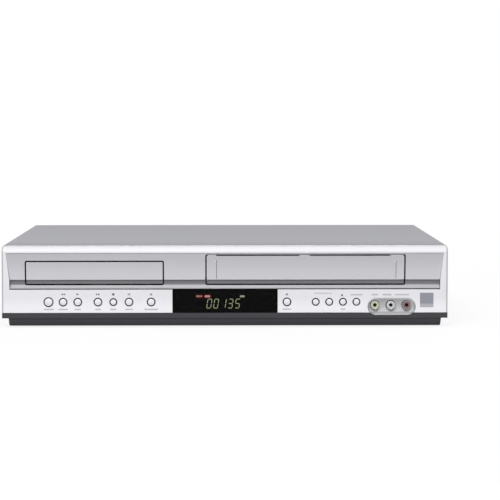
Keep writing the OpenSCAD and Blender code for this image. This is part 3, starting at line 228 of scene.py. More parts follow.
# ---- shared values of the finishes ----
BEVEL_SAMPLES = 4
GRAIN_DETAIL = 3.0
CLOUD_DETAIL = 2.0
CLOUD_SCALE = 11.0
RUB_W = 0.0005
WORN_LIGHTER = 0.35
# How well the rounded normal matches the true one on a flat, and on a worn edge.
FLAT_MATCH = 0.999
WORN_MATCH = 0.86
ZONE_TINT = 0.08
GLOW_GRAIN = 2600.0
GLOW_ROUGH = 0.5
GLOW_DARKER = -0.25
GLOW_LIGHTER = 0.2

# The colour sockets of a Mix node.
MIX_FIRST = 6
MIX_SECOND = 7
MIX_RESULT = 2

# ---- colours, as eight-bit values ----
COVER = (172, 172, 176)
BEZEL = (248, 247, 251)
PANEL = (212, 212, 217)
PLINTH = (86, 86, 91)
DISH = (186, 187, 189)
BUTTON = (240, 240, 243)
PRINT_GREY = (96, 96, 102)
RULE_GREY = (196, 196, 201)
YELLOW = (204, 206, 148)
WHITE = (234, 234, 234)
RED = (146, 68, 73)
GREEN = (40, 128, 64)
BLUE = (44, 72, 160)
ORANGE = (214, 110, 34)


def linear(colour):
    """An eight-bit colour as the shader's linear red, green, blue and alpha."""
    parts = [c / 255 for c in colour]
    return [c / 12.92 if c <= 0.04045 else ((c + 0.055) / 1.055) ** 2.4 for c in parts] + [1.0]


def shade(colour, amount):
    """The same linear colour, lighter or darker by a share."""
    return [min(1.0, c * (1 + amount)) for c in colour[:3]] + [1.0]


# ---- shared effects ----
def new_group(name, inputs, outputs):
    """An empty shader node group with named sockets."""
    tree = bpy.data.node_groups.new(name, "ShaderNodeTree")
    for title, value in inputs:
        kind = "NodeSocketVector" if isinstance(value, tuple) else "NodeSocketFloat"
        tree.interface.new_socket(title, in_out="INPUT", socket_type=kind).default_value = value
    for title, kind in outputs:
        tree.interface.new_socket(title, in_out="OUTPUT", socket_type=kind)
    return tree, tree.nodes.new("NodeGroupInput"), tree.nodes.new("NodeGroupOutput")


def feed(tree, socket, value):
    """Gives a socket a fixed value, or links another socket to it."""
    if isinstance(value, bpy.types.NodeSocket):
        tree.links.new(value, socket)
    else:
        socket.default_value = value


def math_node(tree, operation, first, second):
    """A Math node's result. Each input is a number or a socket."""
    node = tree.nodes.new("ShaderNodeMath")
    node.operation = operation
    feed(tree, node.inputs[0], first)
    feed(tree, node.inputs[1], second)
    return node.outputs["Value"]


def vector_node(tree, operation, first, second):
    """A Vector Math node's result. Each input is a vector or a socket."""
    node = tree.nodes.new("ShaderNodeVectorMath")
    node.operation = operation
    feed(tree, node.inputs[0], first)
    feed(tree, node.inputs[1], second)
    return node.outputs["Vector" if operation == "MULTIPLY" else "Value"]


def object_place(tree):
    """Where a point lies on the object."""
    return tree.nodes.new("ShaderNodeTexCoord").outputs["Object"]


def rounded_normal(tree, radius):
    """The surface normal over edges that are rounded by a radius."""
    edge = tree.nodes.new("ShaderNodeBevel")
    edge.samples = BEVEL_SAMPLES
    feed(tree, edge.inputs["Radius"], radius)
    return edge.outputs["Normal"]


def noise_mask(tree, place, scale, detail):
    """A soft random mask over the surface."""
    noise = tree.nodes.new("ShaderNodeTexNoise")
    noise.inputs["Detail"].default_value = detail
    feed(tree, noise.inputs["Vector"], place)
    feed(tree, noise.inputs["Scale"], scale)
    return noise.outputs["Fac"]


def make_grain_group():
    """Fine surface grain over softened edges: a mask that varies and the normal that goes with it."""
    tree, given, result = new_group(
        "surface_grain",
        [("Scale", 900.0), ("Depth", 0.000002), ("Edge", 0.0002), ("Stretch", (1.0, 1.0, 1.0))],
        [("Mask", "NodeSocketFloat"), ("Normal", "NodeSocketVector")],
    )
    place = vector_node(tree, "MULTIPLY", object_place(tree), given.outputs["Stretch"])
    grain = noise_mask(tree, place, given.outputs["Scale"], GRAIN_DETAIL)
    bump = tree.nodes.new("ShaderNodeBump")
    feed(tree, bump.inputs["Normal"], rounded_normal(tree, given.outputs["Edge"]))
    feed(tree, bump.inputs["Height"], grain)
    feed(tree, bump.inputs["Distance"], given.outputs["Depth"])
    feed(tree, result.inputs["Mask"], grain)
    feed(tree, result.inputs["Normal"], bump.outputs["Normal"])
    return tree


def make_cloud_group():
    """Slow change over a surface, such as handling and settled dust, as a mask."""
    tree, given, result = new_group("slow_change", [("Scale", 14.0)], [("Mask", "NodeSocketFloat")])
    cloud = noise_mask(tree, object_place(tree), given.outputs["Scale"], CLOUD_DETAIL)
    feed(tree, result.inputs["Mask"], cloud)
    return tree


def make_rub_group():
    """Where an edge is rubbed: one on a worn edge, nought on a flat."""
    tree, given, result = new_group("edge_rub", [("Width", 0.0004)], [("Mask", "NodeSocketFloat")])
    here = tree.nodes.new("ShaderNodeNewGeometry")
    rounded = rounded_normal(tree, given.outputs["Width"])
    match = vector_node(tree, "DOT_PRODUCT", rounded, here.outputs["Normal"])
    spread = tree.nodes.new("ShaderNodeMapRange")
    spread.inputs["From Min"].default_value = FLAT_MATCH
    spread.inputs["From Max"].default_value = WORN_MATCH
    feed(tree, spread.inputs["Value"], match)
    feed(tree, result.inputs["Mask"], spread.outputs["Result"])
    return tree


def make_painted_shade_group():
    """Painted shade that grows along an axis: nought at Start and one at Stop, and nought past Limit."""
    tree, given, result = new_group(
        "painted_shade", [("Axis", (0.0, 0.0, 1.0)), ("Start", 0.0), ("Stop", 0.01), ("Limit", 1.0)],
        [("Mask", "NodeSocketFloat")],
    )
    along = vector_node(tree, "DOT_PRODUCT", object_place(tree), given.outputs["Axis"])
    grow = tree.nodes.new("ShaderNodeMapRange")
    grow.interpolation_type = "SMOOTHSTEP"
    feed(tree, grow.inputs["Value"], along)
    feed(tree, grow.inputs["From Min"], given.outputs["Start"])
    feed(tree, grow.inputs["From Max"], given.outputs["Stop"])
    within = math_node(tree, "LESS_THAN", along, given.outputs["Limit"])
    feed(tree, result.inputs["Mask"], math_node(tree, "MULTIPLY", grow.outputs["Result"], within))
    return tree


def make_groove_group():
    """The inside of the inset panel: one behind its leaning face and behind its round groove."""
    tree, given, result = new_group("behind_groove", [("Depth", 0.00015)], [("Mask", "NodeSocketFloat")])
    place = object_place(tree)
    across = vector_node(tree, "MULTIPLY", place, (0.0, 1.0, 1.0))
    from_axis = vector_node(tree, "DISTANCE", across, (0.0, FRONT_Y, GROOVE_Z))
    round_depth = math_node(tree, "SUBTRACT", from_axis, GROOVE_R)
    from_face = vector_node(tree, "DOT_PRODUCT", place, (0.0, 1.0, PANEL_LEAN))
    lean_depth = math_node(tree, "SUBTRACT", from_face, PANEL_TOP_Y + PANEL_LEAN * PANEL_TOP_Z)
    height = vector_node(tree, "DOT_PRODUCT", place, (0.0, 0.0, 1.0))
    upper = math_node(tree, "GREATER_THAN", height, GROOVE_TOP_Z)
    depth = mix_number(tree, upper, round_depth, lean_depth)
    feed(tree, result.inputs["Mask"], math_node(tree, "GREATER_THAN", depth, given.outputs["Depth"]))
    return tree


def make_zone_group():
    """A part of a piece told by place: one where the point lies past a plane across the given axis."""
    tree, given, result = new_group(
        "zone", [("Axis", (0.0, 0.0, 1.0)), ("Past", 0.0)], [("Mask", "NodeSocketFloat")]
    )
    along = vector_node(tree, "DOT_PRODUCT", object_place(tree), given.outputs["Axis"])
    feed(tree, result.inputs["Mask"], math_node(tree, "GREATER_THAN", along, given.outputs["Past"]))
    return tree


def add_effect(tree, group, **values):
    """A shared effect placed in a material with its own values."""
    node = tree.nodes.new("ShaderNodeGroup")
    node.node_tree = group
    for title, value in values.items():
        node.inputs[title].default_value = value
    return node


def everywhere(tree, places):
    """A mask that holds where every place holds. A place is (group, its values)."""
    total = None
    for group, values in places:
        mask = add_effect(tree, group, **values).outputs["Mask"]
        total = mask if total is None else math_node(tree, "MULTIPLY", total, mask)
    return total


def past(axis, distance):
    """The place past a plane across an axis, at a distance in metres."""
    return ZONE, {"Axis": axis, "Past": distance}


def mix_colour(tree, share, first, second, blend="MIX"):
    """Mixes two colours by a share. The share and each colour is a value or a socket."""
    mix = tree.nodes.new("ShaderNodeMix")
    mix.data_type = "RGBA"
    mix.blend_type = blend
    feed(tree, mix.inputs["Factor"], share)
    feed(tree, mix.inputs[MIX_FIRST], first)
    feed(tree, mix.inputs[MIX_SECOND], second)
    return mix.outputs[MIX_RESULT]


def mix_number(tree, share, first, second):
    """Mixes two numbers by a share. Each is a number or a socket."""
    span = tree.nodes.new("ShaderNodeMapRange")
    for title, value in (("Value", share), ("To Min", first), ("To Max", second)):
        feed(tree, span.inputs[title], value)
    return span.outputs["Result"]


def mottled(tree, fine, base, tint):
    """A colour that is a little lighter and darker with the grain."""
    return mix_colour(tree, fine.outputs["Mask"], shade(base, -tint), shade(base, tint))


def add_rub(tree, tone, base, rub):
    """The tone, lighter where an edge is rubbed."""
    worn = add_effect(tree, RUB, Width=RUB_W)
    share = math_node(tree, "MULTIPLY", worn.outputs["Mask"], rub)
    return mix_colour(tree, share, tone, shade(base, WORN_LIGHTER))


def add_painted_shade(tree, tone, painted_shades):
    """The tone, darker by painted shade where each mask grows."""
    for values, darker in painted_shades:
        shade_share = add_effect(tree, PAINTED_SHADE_GROUP, **values)
        dark = mix_colour(tree, shade_share.outputs["Mask"], [1.0] * 4, shade([1.0] * 4, -darker))
        tone = mix_colour(tree, 1.0, tone, dark, "MULTIPLY")
    return tone


def add_zones(tree, fine, tint, look, zones):
    """The tone, gloss and metal of a finish, with other finishes laid where their places hold."""
    tone, gloss, metallic = look
    for places, colour, rough, metal in zones:
        where = everywhere(tree, places)
        tone = mix_colour(tree, where, tone, mottled(tree, fine, linear(colour), min(tint, ZONE_TINT)))
        gloss = mix_number(tree, where, gloss, rough)
        metallic = mix_number(tree, where, metallic, metal)
    return tone, gloss, metallic


def finish(name, colour, rough, metal=0.0, grain=900.0, depth=0.000002, edge=0.0002, stretch=(1.0, 1.0, 1.0),
           tint=0.03, spread=0.05, rub=0.0, painted_shades=(), zones=(), sockets=None):
    """One surface finish: its colour and gloss vary with the grain and with slow change, and edges are soft.

    Painted shade comes as pairs of (values, how much darker), growing along an axis.
    zones are (places, colour, rough, metal) for other finishes on the same piece, where all the places hold.
    """
    material = bpy.data.materials.new(name)
    material.use_nodes = True
    tree = material.node_tree
    shader = tree.nodes["Principled BSDF"]
    fine = add_effect(tree, GRAIN, Scale=grain, Depth=depth, Edge=edge, Stretch=stretch)
    slow = add_effect(tree, CLOUD, Scale=CLOUD_SCALE)
    base = linear(colour)
    tone = mottled(tree, fine, base, tint)
    if rub:
        tone = add_rub(tree, tone, base, rub)
    tone = add_painted_shade(tree, tone, painted_shades)
    gloss = mix_number(tree, slow.outputs["Mask"], rough - spread, rough + spread)
    tone, gloss, metallic = add_zones(tree, fine, tint, (tone, gloss, metal), zones)
    feed(tree, shader.inputs["Base Color"], tone)
    feed(tree, shader.inputs["Roughness"], gloss)
    feed(tree, shader.inputs["Metallic"], metallic)
    feed(tree, shader.inputs["Normal"], fine.outputs["Normal"])
    for title, value in (sockets or {}).items():
        shader.inputs[title].default_value = value
    return material


def glow(name, colour, strength):
    """A lit display segment, a little uneven across its width."""
    material = bpy.data.materials.new(name)
    material.use_nodes = True
    tree = material.node_tree
    shader = tree.nodes["Principled BSDF"]
    fine = add_effect(tree, GRAIN, Scale=GLOW_GRAIN, Depth=0.0, Edge=0.0)
    darker, lighter = shade(linear(colour), GLOW_DARKER), shade(linear(colour), GLOW_LIGHTER)
    lit = mix_colour(tree, fine.outputs["Mask"], darker, lighter)
    feed(tree, shader.inputs["Emission Color"], lit)
    feed(tree, shader.inputs["Base Color"], lit)
    shader.inputs["Emission Strength"].default_value = strength
    shader.inputs["Roughness"].default_value = GLOW_ROUGH
    return material


# ---- finishes ----
GRAIN = make_grain_group()
CLOUD = make_cloud_group()
RUB = make_rub_group()
ZONE = make_zone_group()
PAINTED_SHADE_GROUP = make_painted_shade_group()
BEHIND_GROOVE = make_groove_group()

# Brushed grain, and values of the shader's own sockets.
ROLLED = (40.0, 1.0, 40.0)
TURNED = (1.0, 1.0, 60.0)
PAINT = {"Specular IOR Level": 0.35}
GLASS = {"Transmission Weight": 1.0, "IOR": 1.16}

LEFT, RIGHT = (-1.0, 0.0, 0.0), (1.0, 0.0, 0.0)
FRONT, BACK = (0.0, -1.0, 0.0), (0.0, 1.0, 0.0)
DOWN, UP = (0.0, 0.0, -1.0), (0.0, 0.0, 1.0)


# A place past every side of the player.
FAR = 0.3


def over_board(height, left=-FAR, right=FAR, front=-FAR, back=FAR):
    """The places over a height that lie between the given ends, all in metres."""
    return (past(UP, height), past(RIGHT, left), past(LEFT, -right), past(BACK, front), past(FRONT, -back))


# Other finishes on a piece, as colour, rough and metal.
# Unpainted plastic inside, near black so that gaps and openings also carry painted shade.
UNPAINTED_AND_SHADE = ((20, 20, 22), 0.6, 0.0)
PLATED = ((206, 206, 206), 0.22, 1.0)
CHIP_BLACK = ((24, 24, 26), 0.4, 0.0)
TIN = ((200, 200, 200), 0.3, 1.0)
IVORY = ((226, 220, 200), 0.45, 0.0)
TAPE_YELLOW = ((214, 182, 84), 0.4, 0.0)
FILM_YELLOW = ((206, 176, 96), 0.4, 0.0)
CORE_GREY = ((66, 62, 60), 0.5, 0.0)

# Where the parts of the two inner boards stand.
ALL_PARTS = (past(UP, BOARD_TOP_Z),)
MAIN_CAP_TOPS = over_board(0.0258)
SHIELD_CAN = over_board(BOARD_TOP_Z, -0.190, -0.173, 0.019, 0.061)
RIBBON_SOCKETS = over_board(BOARD_TOP_Z, front=-0.041, back=-0.033)
LEFT_HEATSINK = over_board(BOARD_TOP_Z, 0.0742, 0.0778)
RIGHT_HEATSINK = over_board(BOARD_TOP_Z, 0.1242, 0.1278)
SMALL_CAP_TOPS = over_board(0.0349, 0.057, 0.068)
LARGE_CAP_TOP = over_board(0.0469, 0.135, 0.154)
TRANSFORMER_TAPE = over_board(0.0200, 0.088, 0.119, 0.099, 0.130)
TRANSFORMER_CORE = over_board(0.0362, 0.088, 0.119, 0.099, 0.130)
FILM_CAPACITOR = over_board(BOARD_TOP_Z, 0.160, 0.183, 0.086, 0.105)
MAIN_PARTS = (
    (ALL_PARTS, *CHIP_BLACK),
    (MAIN_CAP_TOPS, *TIN),
    (SHIELD_CAN, *TIN),
    (RIBBON_SOCKETS, *IVORY),
)
POWER_PARTS = (
    (ALL_PARTS, *CHIP_BLACK),
    (LEFT_HEATSINK, *TIN),
    (RIGHT_HEATSINK, *TIN),
    (SMALL_CAP_TOPS, *TIN),
    (LARGE_CAP_TOP, *TIN),
    (TRANSFORMER_TAPE, *TAPE_YELLOW),
    (TRANSFORMER_CORE, *CORE_GREY),
    (FILM_CAPACITOR, *FILM_YELLOW),
)

# Unpainted insides, near black as painted shade in gaps and openings, and the plated sleeves of the sockets.
BEHIND_PANEL = ((BEHIND_GROOVE, {"Depth": 0.00015}),)
BEHIND_FACE = (past(BACK, -0.16985), past(DOWN, -0.0375), past(LEFT, -0.2145), past(RIGHT, -0.2145))
BEHIND_CAP = (past(BACK, -0.1702),)
FRONT_SLEEVES = (past(FRONT, 0.1690),)
REAR_SLEEVES = (past(BACK, 0.1604),)

# Painted shade that grows along an axis, as (values, how much darker).
# Painted shade on the panel: its groove darkest near the top and darker below its middle, and the leaning
# face darker towards its top.
PANEL_PAINTED_SHADE = (
    ({"Start": 0.0385, "Stop": 0.0432, "Limit": GROOVE_TOP_Z}, 0.66),
    ({"Start": 0.0450, "Stop": 0.0730}, 0.2),
    ({"Axis": DOWN, "Start": -0.0437, "Stop": -0.0425}, 0.3),
)
# Painted shade on the cover, darker towards its front edge.
COVER_PAINTED_SHADE = (
    ({"Axis": FRONT, "Start": 0.1, "Stop": 0.165}, 0.12),
)
# Painted shade on the dish: its lower rim, and its left and right ends, darker.
DISH_PAINTED_SHADE = (
    ({"Axis": DOWN, "Start": -0.0158, "Stop": -0.0146, "Limit": -0.0130}, 0.4),
    ({"Axis": LEFT, "Start": -0.1415, "Stop": -0.1385}, 0.45),
    ({"Axis": RIGHT, "Start": 0.1818, "Stop": 0.1848}, 0.45),
)
# Painted shade on the plinth: a step darker above the foot's ledge, and darker downwards to the floor.
PLINTH_PAINTED_SHADE = (
    ({"Axis": DOWN, "Start": -0.0300, "Stop": -0.0290, "Limit": -0.0092}, 0.37),
    ({"Axis": DOWN, "Start": -0.0145, "Stop": 0.0}, 0.6),
)
# Painted shade on the bezel: darker upwards over its lower face, a little darker on the band over the panel
# and much darker at the band's top edge, and darker on its rounded left and right sides.
BEZEL_PAINTED_SHADE = (
    ({"Start": 0.0185, "Stop": 0.0310}, 0.11),
    ({"Axis": UP, "Start": 0.0715, "Stop": 0.0725}, 0.073),
    ({"Axis": UP, "Start": 0.0776, "Stop": 0.0790}, 0.3),
    ({"Axis": LEFT, "Start": 0.2140, "Stop": 0.2153}, 0.45),
    ({"Axis": RIGHT, "Start": 0.2140, "Stop": 0.2153}, 0.45),
)
FINISHES = {
    "cover_paint": dict(colour=COVER, rough=0.55, grain=2600.0, depth=0.000004, painted_shades=COVER_PAINTED_SHADE,
                        sockets={"Specular IOR Level": 0.0}),
    "zinc_steel": dict(colour=(186, 190, 192), rough=0.45, metal=0.9, grain=120.0, tint=0.12, spread=0.12),
    "rear_paint": dict(colour=(170, 170, 174), rough=0.5, metal=0.1, grain=2600.0, depth=0.000004),
    "bezel_silver": dict(colour=BEZEL, rough=0.45, grain=3200.0, tint=0.025, edge=0.0004, sockets=PAINT,
                         painted_shades=BEZEL_PAINTED_SHADE, zones=((BEHIND_FACE, *UNPAINTED_AND_SHADE),)),
    "decor_silver": dict(colour=PANEL, rough=0.45, metal=0.05, grain=3200.0, tint=0.03, edge=0.00015,
                         sockets=PAINT, painted_shades=PANEL_PAINTED_SHADE, zones=((BEHIND_PANEL, *UNPAINTED_AND_SHADE),)),
    "plinth_grey": dict(colour=PLINTH, rough=0.5, grain=2200.0, depth=0.000008, tint=0.05, painted_shades=PLINTH_PAINTED_SHADE,
                        sockets={"Specular IOR Level": 0.2}),
    "window_black": dict(colour=(70, 68, 76), rough=0.06, grain=300.0, depth=0.0, tint=0.05, spread=0.02,
                         edge=0.0001, sockets=GLASS),
    "dish_grey": dict(colour=DISH, rough=0.55, metal=0.1, grain=1500.0, tint=0.07, edge=0.0004, sockets=PAINT,
                      painted_shades=DISH_PAINTED_SHADE),
    "foot_rubber": dict(colour=(28, 28, 29), rough=0.85, grain=1800.0, depth=0.00003, tint=0.15),
    "screw_steel": dict(colour=(200, 200, 202), rough=0.28, metal=1.0, grain=1400.0, tint=0.08, edge=0.00015),
    "button_white": dict(colour=BUTTON, rough=0.4, grain=2400.0, tint=0.02, edge=0.0004,
                         zones=((BEHIND_CAP, *UNPAINTED_AND_SHADE),)),
    "board_green": dict(colour=(28, 84, 44), rough=0.4, grain=500.0, depth=0.00003, tint=0.35,
                        zones=MAIN_PARTS),
    "board_tan": dict(colour=(176, 138, 84), rough=0.55, grain=500.0, depth=0.00002, tint=0.12,
                      zones=POWER_PARTS),
    "display_glass": dict(colour=(12, 14, 15), rough=0.25, grain=900.0, tint=0.2),
    "drive_black": dict(colour=(40, 40, 42), rough=0.5, grain=1600.0, depth=0.00001, tint=0.08, rub=0.3),
    "tray_grey": dict(colour=(66, 66, 70), rough=0.5, grain=2000.0, depth=0.00001, tint=0.06, rub=0.25),
    "gear_white": dict(colour=(228, 224, 206), rough=0.4, grain=900.0, tint=0.03),
    "motor_steel": dict(colour=(188, 188, 186), rough=0.3, metal=1.0, grain=60.0, stretch=ROLLED, tint=0.08),
    "plate_steel": dict(colour=(196, 194, 186), rough=0.46, metal=0.95, grain=50.0, stretch=ROLLED, tint=0.1,
                        rub=0.4),
    "drum_alloy": dict(colour=(214, 214, 218), rough=0.22, metal=1.0, grain=40.0, stretch=TURNED, tint=0.06),
    "rod_steel": dict(colour=(214, 214, 216), rough=0.14, metal=1.0, grain=200.0, tint=0.04),
    "roller_rubber": dict(colour=(30, 30, 30), rough=0.7, grain=2200.0, depth=0.00001, tint=0.1),
    "puck_grey": dict(colour=(84, 84, 88), rough=0.45, grain=1800.0, depth=0.000006, tint=0.06, rub=0.25),
    "front_socket": dict(colour=(26, 26, 27), rough=0.45, grain=1600.0, tint=0.08,
                         zones=((FRONT_SLEEVES, *PLATED),)),
    "rear_socket": dict(colour=(26, 26, 27), rough=0.45, grain=1600.0, tint=0.08,
                        zones=((REAR_SLEEVES, *PLATED),)),
    "inlet_black": dict(colour=(22, 22, 23), rough=0.5, grain=1600.0, depth=0.00001, tint=0.08),
    # Painted shade: a dark sheet behind the rear vents.
    "vent_shade_black": dict(colour=(20, 20, 21), rough=0.9, grain=2600.0, depth=0.00004, tint=0.25),
    "front_print": dict(colour=PRINT_GREY, rough=0.5, grain=1500.0, tint=0.05),
    "rule_print": dict(colour=RULE_GREY, rough=0.5, grain=1500.0, tint=0.03),
    "rear_print": dict(colour=(236, 236, 236), rough=0.5, grain=1500.0, tint=0.03),
    "label_grey": dict(colour=(146, 148, 158), rough=0.45, grain=1200.0, tint=0.05),
    "label_pale": dict(colour=(180, 181, 188), rough=0.45, grain=1200.0, tint=0.05),
    # A painted highlight on the tape door.
    "painted_glint": dict(colour=(250, 250, 250), rough=0.35, grain=1200.0, tint=0.02),
    "front_yellow": dict(colour=(194, 197, 163), rough=0.35, grain=1200.0, tint=0.04),
    "front_white": dict(colour=(206, 206, 208), rough=0.35, grain=1200.0, tint=0.03),
    "front_red": dict(colour=(130, 95, 99), rough=0.35, grain=1200.0, tint=0.06),
    "insert_yellow": dict(colour=YELLOW, rough=0.35, grain=1200.0, tint=0.04),
    "insert_white": dict(colour=WHITE, rough=0.35, grain=1200.0, tint=0.03),
    "insert_red": dict(colour=RED, rough=0.35, grain=1200.0, tint=0.06),
    "insert_green": dict(colour=GREEN, rough=0.35, grain=1200.0, tint=0.06),
    "insert_blue": dict(colour=BLUE, rough=0.35, grain=1200.0, tint=0.06),
    "insert_orange": dict(colour=ORANGE, rough=0.35, grain=1200.0, tint=0.05),
}
NODE_FINISH = {"front_jacks": "front_socket", "rear_jacks": "rear_socket", "ac_inlet": "inlet_black"}
FINISH = {title: finish(title, **values) for title, values in FINISHES.items()}
DIGIT_GLOW = glow("digit_glow", (182, 198, 138), 20.0)
RED_GLOW = glow("red_glow", (226, 166, 144), 8.0)
HALO_GLOW = glow("halo_glow", (200, 40, 30), 0.4)
PINK_GLOW = glow("pink_glow", (234, 164, 146), 10.0)
PALE_GLOW = glow("pale_glow", (176, 186, 150), 10.0)


def dress_nodes():
    """Gives every frame node the finish of its material slot."""
    slots = {row["node"]: row["material_slot"] for row in frame["record"]["subparts"]}
    for title, node in frame["nodes"].items():
        material = FINISH[NODE_FINISH.get(title, slots[title])]
        if node.material_slots:
            for place in node.material_slots:
                place.material = material
        else:
            node.data.materials.append(material)


# ---- making pieces ----
def add_piece(name, bm, materials, body="case", smooth=None):
    """Turns a worked bmesh, in millimetres, into a piece that rides on its body."""
    bmesh.ops.remove_doubles(bm, verts=bm.verts, dist=WELD)
    bmesh.ops.recalc_face_normals(bm, faces=bm.faces)
    bmesh.ops.transform(bm, matrix=Matrix.Scale(MM, 4), verts=bm.verts)
    mesh = bpy.data.meshes.new(name)
    bm.to_mesh(mesh)
    bm.free()
    for material in materials:
        mesh.materials.append(material)
    if smooth is not None:
        mesh.polygons.foreach_set("use_smooth", [True] * len(mesh.polygons))
        mesh.set_sharp_from_angle(angle=math.radians(smooth))
    piece = bpy.data.objects.new(name, mesh)
    bpy.context.scene.collection.objects.link(piece)
    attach(piece, body)
    return piece


def raise_outline(bm, points, y, thick, tint=0):
    """A flat printed or moulded shape on the front: an x-z outline raised towards the viewer."""
    face = bm.faces.new([bm.verts.new((x, y, z)) for x, z in points])
    face.material_index = tint
    out = bmesh.ops.extrude_face_region(bm, geom=[face])["geom"]
    moved = [v for v in out if isinstance(v, bmesh.types.BMVert)]
    bmesh.ops.translate(bm, verts=moved, vec=(0, -thick, 0))
    for part in out:
        if isinstance(part, bmesh.types.BMFace):
            part.material_index = tint


def raise_disc(bm, x, z, r, y, thick, segments=24):
    """A round printed or moulded shape on the front."""
    turn = Matrix.Translation((x, y, z)) @ Matrix.Rotation(math.pi / 2, 4, "X")
    made = bmesh.ops.create_circle(bm, cap_ends=True, radius=r, segments=segments, matrix=turn)
    faces = list({f for v in made["verts"] for f in v.link_faces})
    out = bmesh.ops.extrude_face_region(bm, geom=faces)["geom"]
    bmesh.ops.translate(bm, verts=[v for v in out if isinstance(v, bmesh.types.BMVert)], vec=(0, -thick, 0))


def turn_profile(bm, points, x, z, segments=32):
    """A turned shape about an axis along y: points are (radius, y)."""
    verts = [bm.verts.new((x + r, y, z)) for r, y in points]
    edges = [bm.edges.new(pair) for pair in zip(verts, verts[1:])]
    bmesh.ops.spin(bm, geom=verts + edges, cent=(x, 0, z), axis=(0, 1, 0), angle=2 * math.pi, steps=segments,
                   use_merge=True)


def rect(x0, x1, z0, z1):
    """A square-cornered outline."""
    return [(x0, z0), (x1, z0), (x1, z1), (x0, z1)]


def pill(x0, x1, z0, z1, steps=6):
    """A bar with round ends."""
    r = (z1 - z0) / 2
    points = []
    for centre, start in ((x1 - r, -90), (x0 + r, 90)):
        for i in range(steps + 1):
            a = math.radians(start + 180 * i / steps)
            points.append((centre + r * math.cos(a), z0 + r + r * math.sin(a)))
    return points


# ---- front marks ----
def arrow(bm, x, z, size, way):
    """A pointed transport mark: way is 1 to the right and -1 to the left."""
    half = size / 2
    points = [(x - way * half, z - half), (x + way * half, z), (x - way * half, z + half)]
    raise_outline(bm, points, PRINT_Y, PRINT_T)


def eject_mark(bm, x, z):
    """A triangle over a bar."""
    foot = [(x - EJECT_HALF, z + EJECT_FOOT), (x + EJECT_HALF, z + EJECT_FOOT), (x, z + EJECT_TIP)]
    raise_outline(bm, foot, PRINT_Y, PRINT_T)
    bar = rect(x - EJECT_HALF, x + EJECT_HALF, z + EJECT_BAR[0], z + EJECT_BAR[1])
    raise_outline(bm, bar, PRINT_Y, PRINT_T)


def upright_bar(bm, x, half_w):
    """A bar or square as high as the stop mark."""
    outline = rect(x - half_w, x + half_w, SYMBOL_Z - STOP_HALF, SYMBOL_Z + STOP_HALF)
    raise_outline(bm, outline, PRINT_Y, PRINT_T)


def make_front_symbols():
    """Generic transport marks printed over the buttons."""
    bm = bmesh.new()
    rewind, play, forward, stop, pause, disc_eject, tape_eject = BUTTON_X[1:8]
    for shift in PAIR_SHIFTS:
        arrow(bm, rewind + shift, SYMBOL_Z, PAIR_SIZE, -1)
        arrow(bm, forward - shift, SYMBOL_Z, PAIR_SIZE, 1)
    arrow(bm, play, SYMBOL_Z, PLAY_SIZE, 1)
    upright_bar(bm, stop, STOP_HALF)
    for shift in PAUSE_SHIFTS:
        upright_bar(bm, pause + shift, PAUSE_HALF_W)
    eject_mark(bm, disc_eject, SYMBOL_Z)
    eject_mark(bm, tape_eject, SYMBOL_Z)
    raise_disc(bm, BUTTON_X[10] + RECORD_SHIFT[0], SYMBOL_Z + RECORD_SHIFT[1], RECORD_R, PRINT_Y, PRINT_T)
    add_piece("front_symbols", bm, [FINISH["front_print"]])


def make_front_rules():
    """Pale rules printed under the buttons and over the sockets."""
    bm = bmesh.new()
    for x, half_w in zip(BUTTON_X, RULE_HALF_W):
        if half_w:
            outline = pill(x - half_w, x + half_w, RULE_Z - RULE_HALF_H, RULE_Z + RULE_HALF_H)
            raise_outline(bm, outline, PRINT_Y, PRINT_T)
    for x0, x1, z, half_h in SOCKET_RULES:
        raise_outline(bm, pill(x0, x1, z - half_h, z + half_h), PRINT_Y, PRINT_T)
    add_piece("front_rules", bm, [FINISH["rule_print"]])


def make_button_shadow_rims():
    """A fine ring of painted shadow round the mouth of each button's opening."""
    bm = bmesh.new()
    top = PRINT_Y - PRINT_T
    for x, r in zip(BUTTON_X, BUTTON_HOLE_R):
        ring = [(r, PRINT_Y), (r, top), (r + SHADOW_RIM_W, top), (r + SHADOW_RIM_W, PRINT_Y), (r, PRINT_Y)]
        turn_profile(bm, ring, x, BUTTON_Z, SHADOW_RIM_SEGMENTS)
    add_piece("button_shadow_rims", bm, [FINISH["front_print"]], smooth=ROUND_ANGLE)


def make_label_square():
    """A plain two-tone square near the right end of the front."""
    bm = bmesh.new()
    for tint, heights in enumerate(LABEL_Z):
        raise_outline(bm, rect(*LABEL_X, *heights), PRINT_Y, PRINT_T, tint)
    add_piece("label_square", bm, [FINISH["label_grey"], FINISH["label_pale"]])


# ---- display ----
def segment_outline(kind):
    """One bar of a seven-part digit about the digit's middle, with pointed ends."""
    half_w, half_h, s = DIGIT_W / 2 - STROKE / 2, DIGIT_H / 2 - STROKE / 2, STROKE / 2
    gap = SEGMENT_GAP
    level = {"a": half_h, "g": 0.0, "d": -half_h}
    if kind in level:
        z = level[kind]
        return [(-half_w + gap, z), (-half_w + gap + s, z + s), (half_w - gap - s, z + s),
                (half_w - gap, z), (half_w - gap - s, z - s), (-half_w + gap + s, z - s)]
    x = half_w if kind in "bc" else -half_w
    z0, z1 = (gap, half_h - gap) if kind in "bf" else (-half_h + gap, -gap)
    return [(x, z0), (x + s, z0 + s), (x + s, z1 - s), (x, z1), (x - s, z1 - s), (x - s, z0 + s)]


def make_digits():
    """The lit counter digits on the display tube."""
    bm = bmesh.new()
    for digit, centre in DIGITS:
        for kind in SEGMENTS[digit]:
            points = [(centre + x + SLANT * z, DISPLAY_Z + z) for x, z in segment_outline(kind)]
            raise_outline(bm, points, LIT_Y, LIT_T)
    add_piece("display_digits", bm, [DIGIT_GLOW])


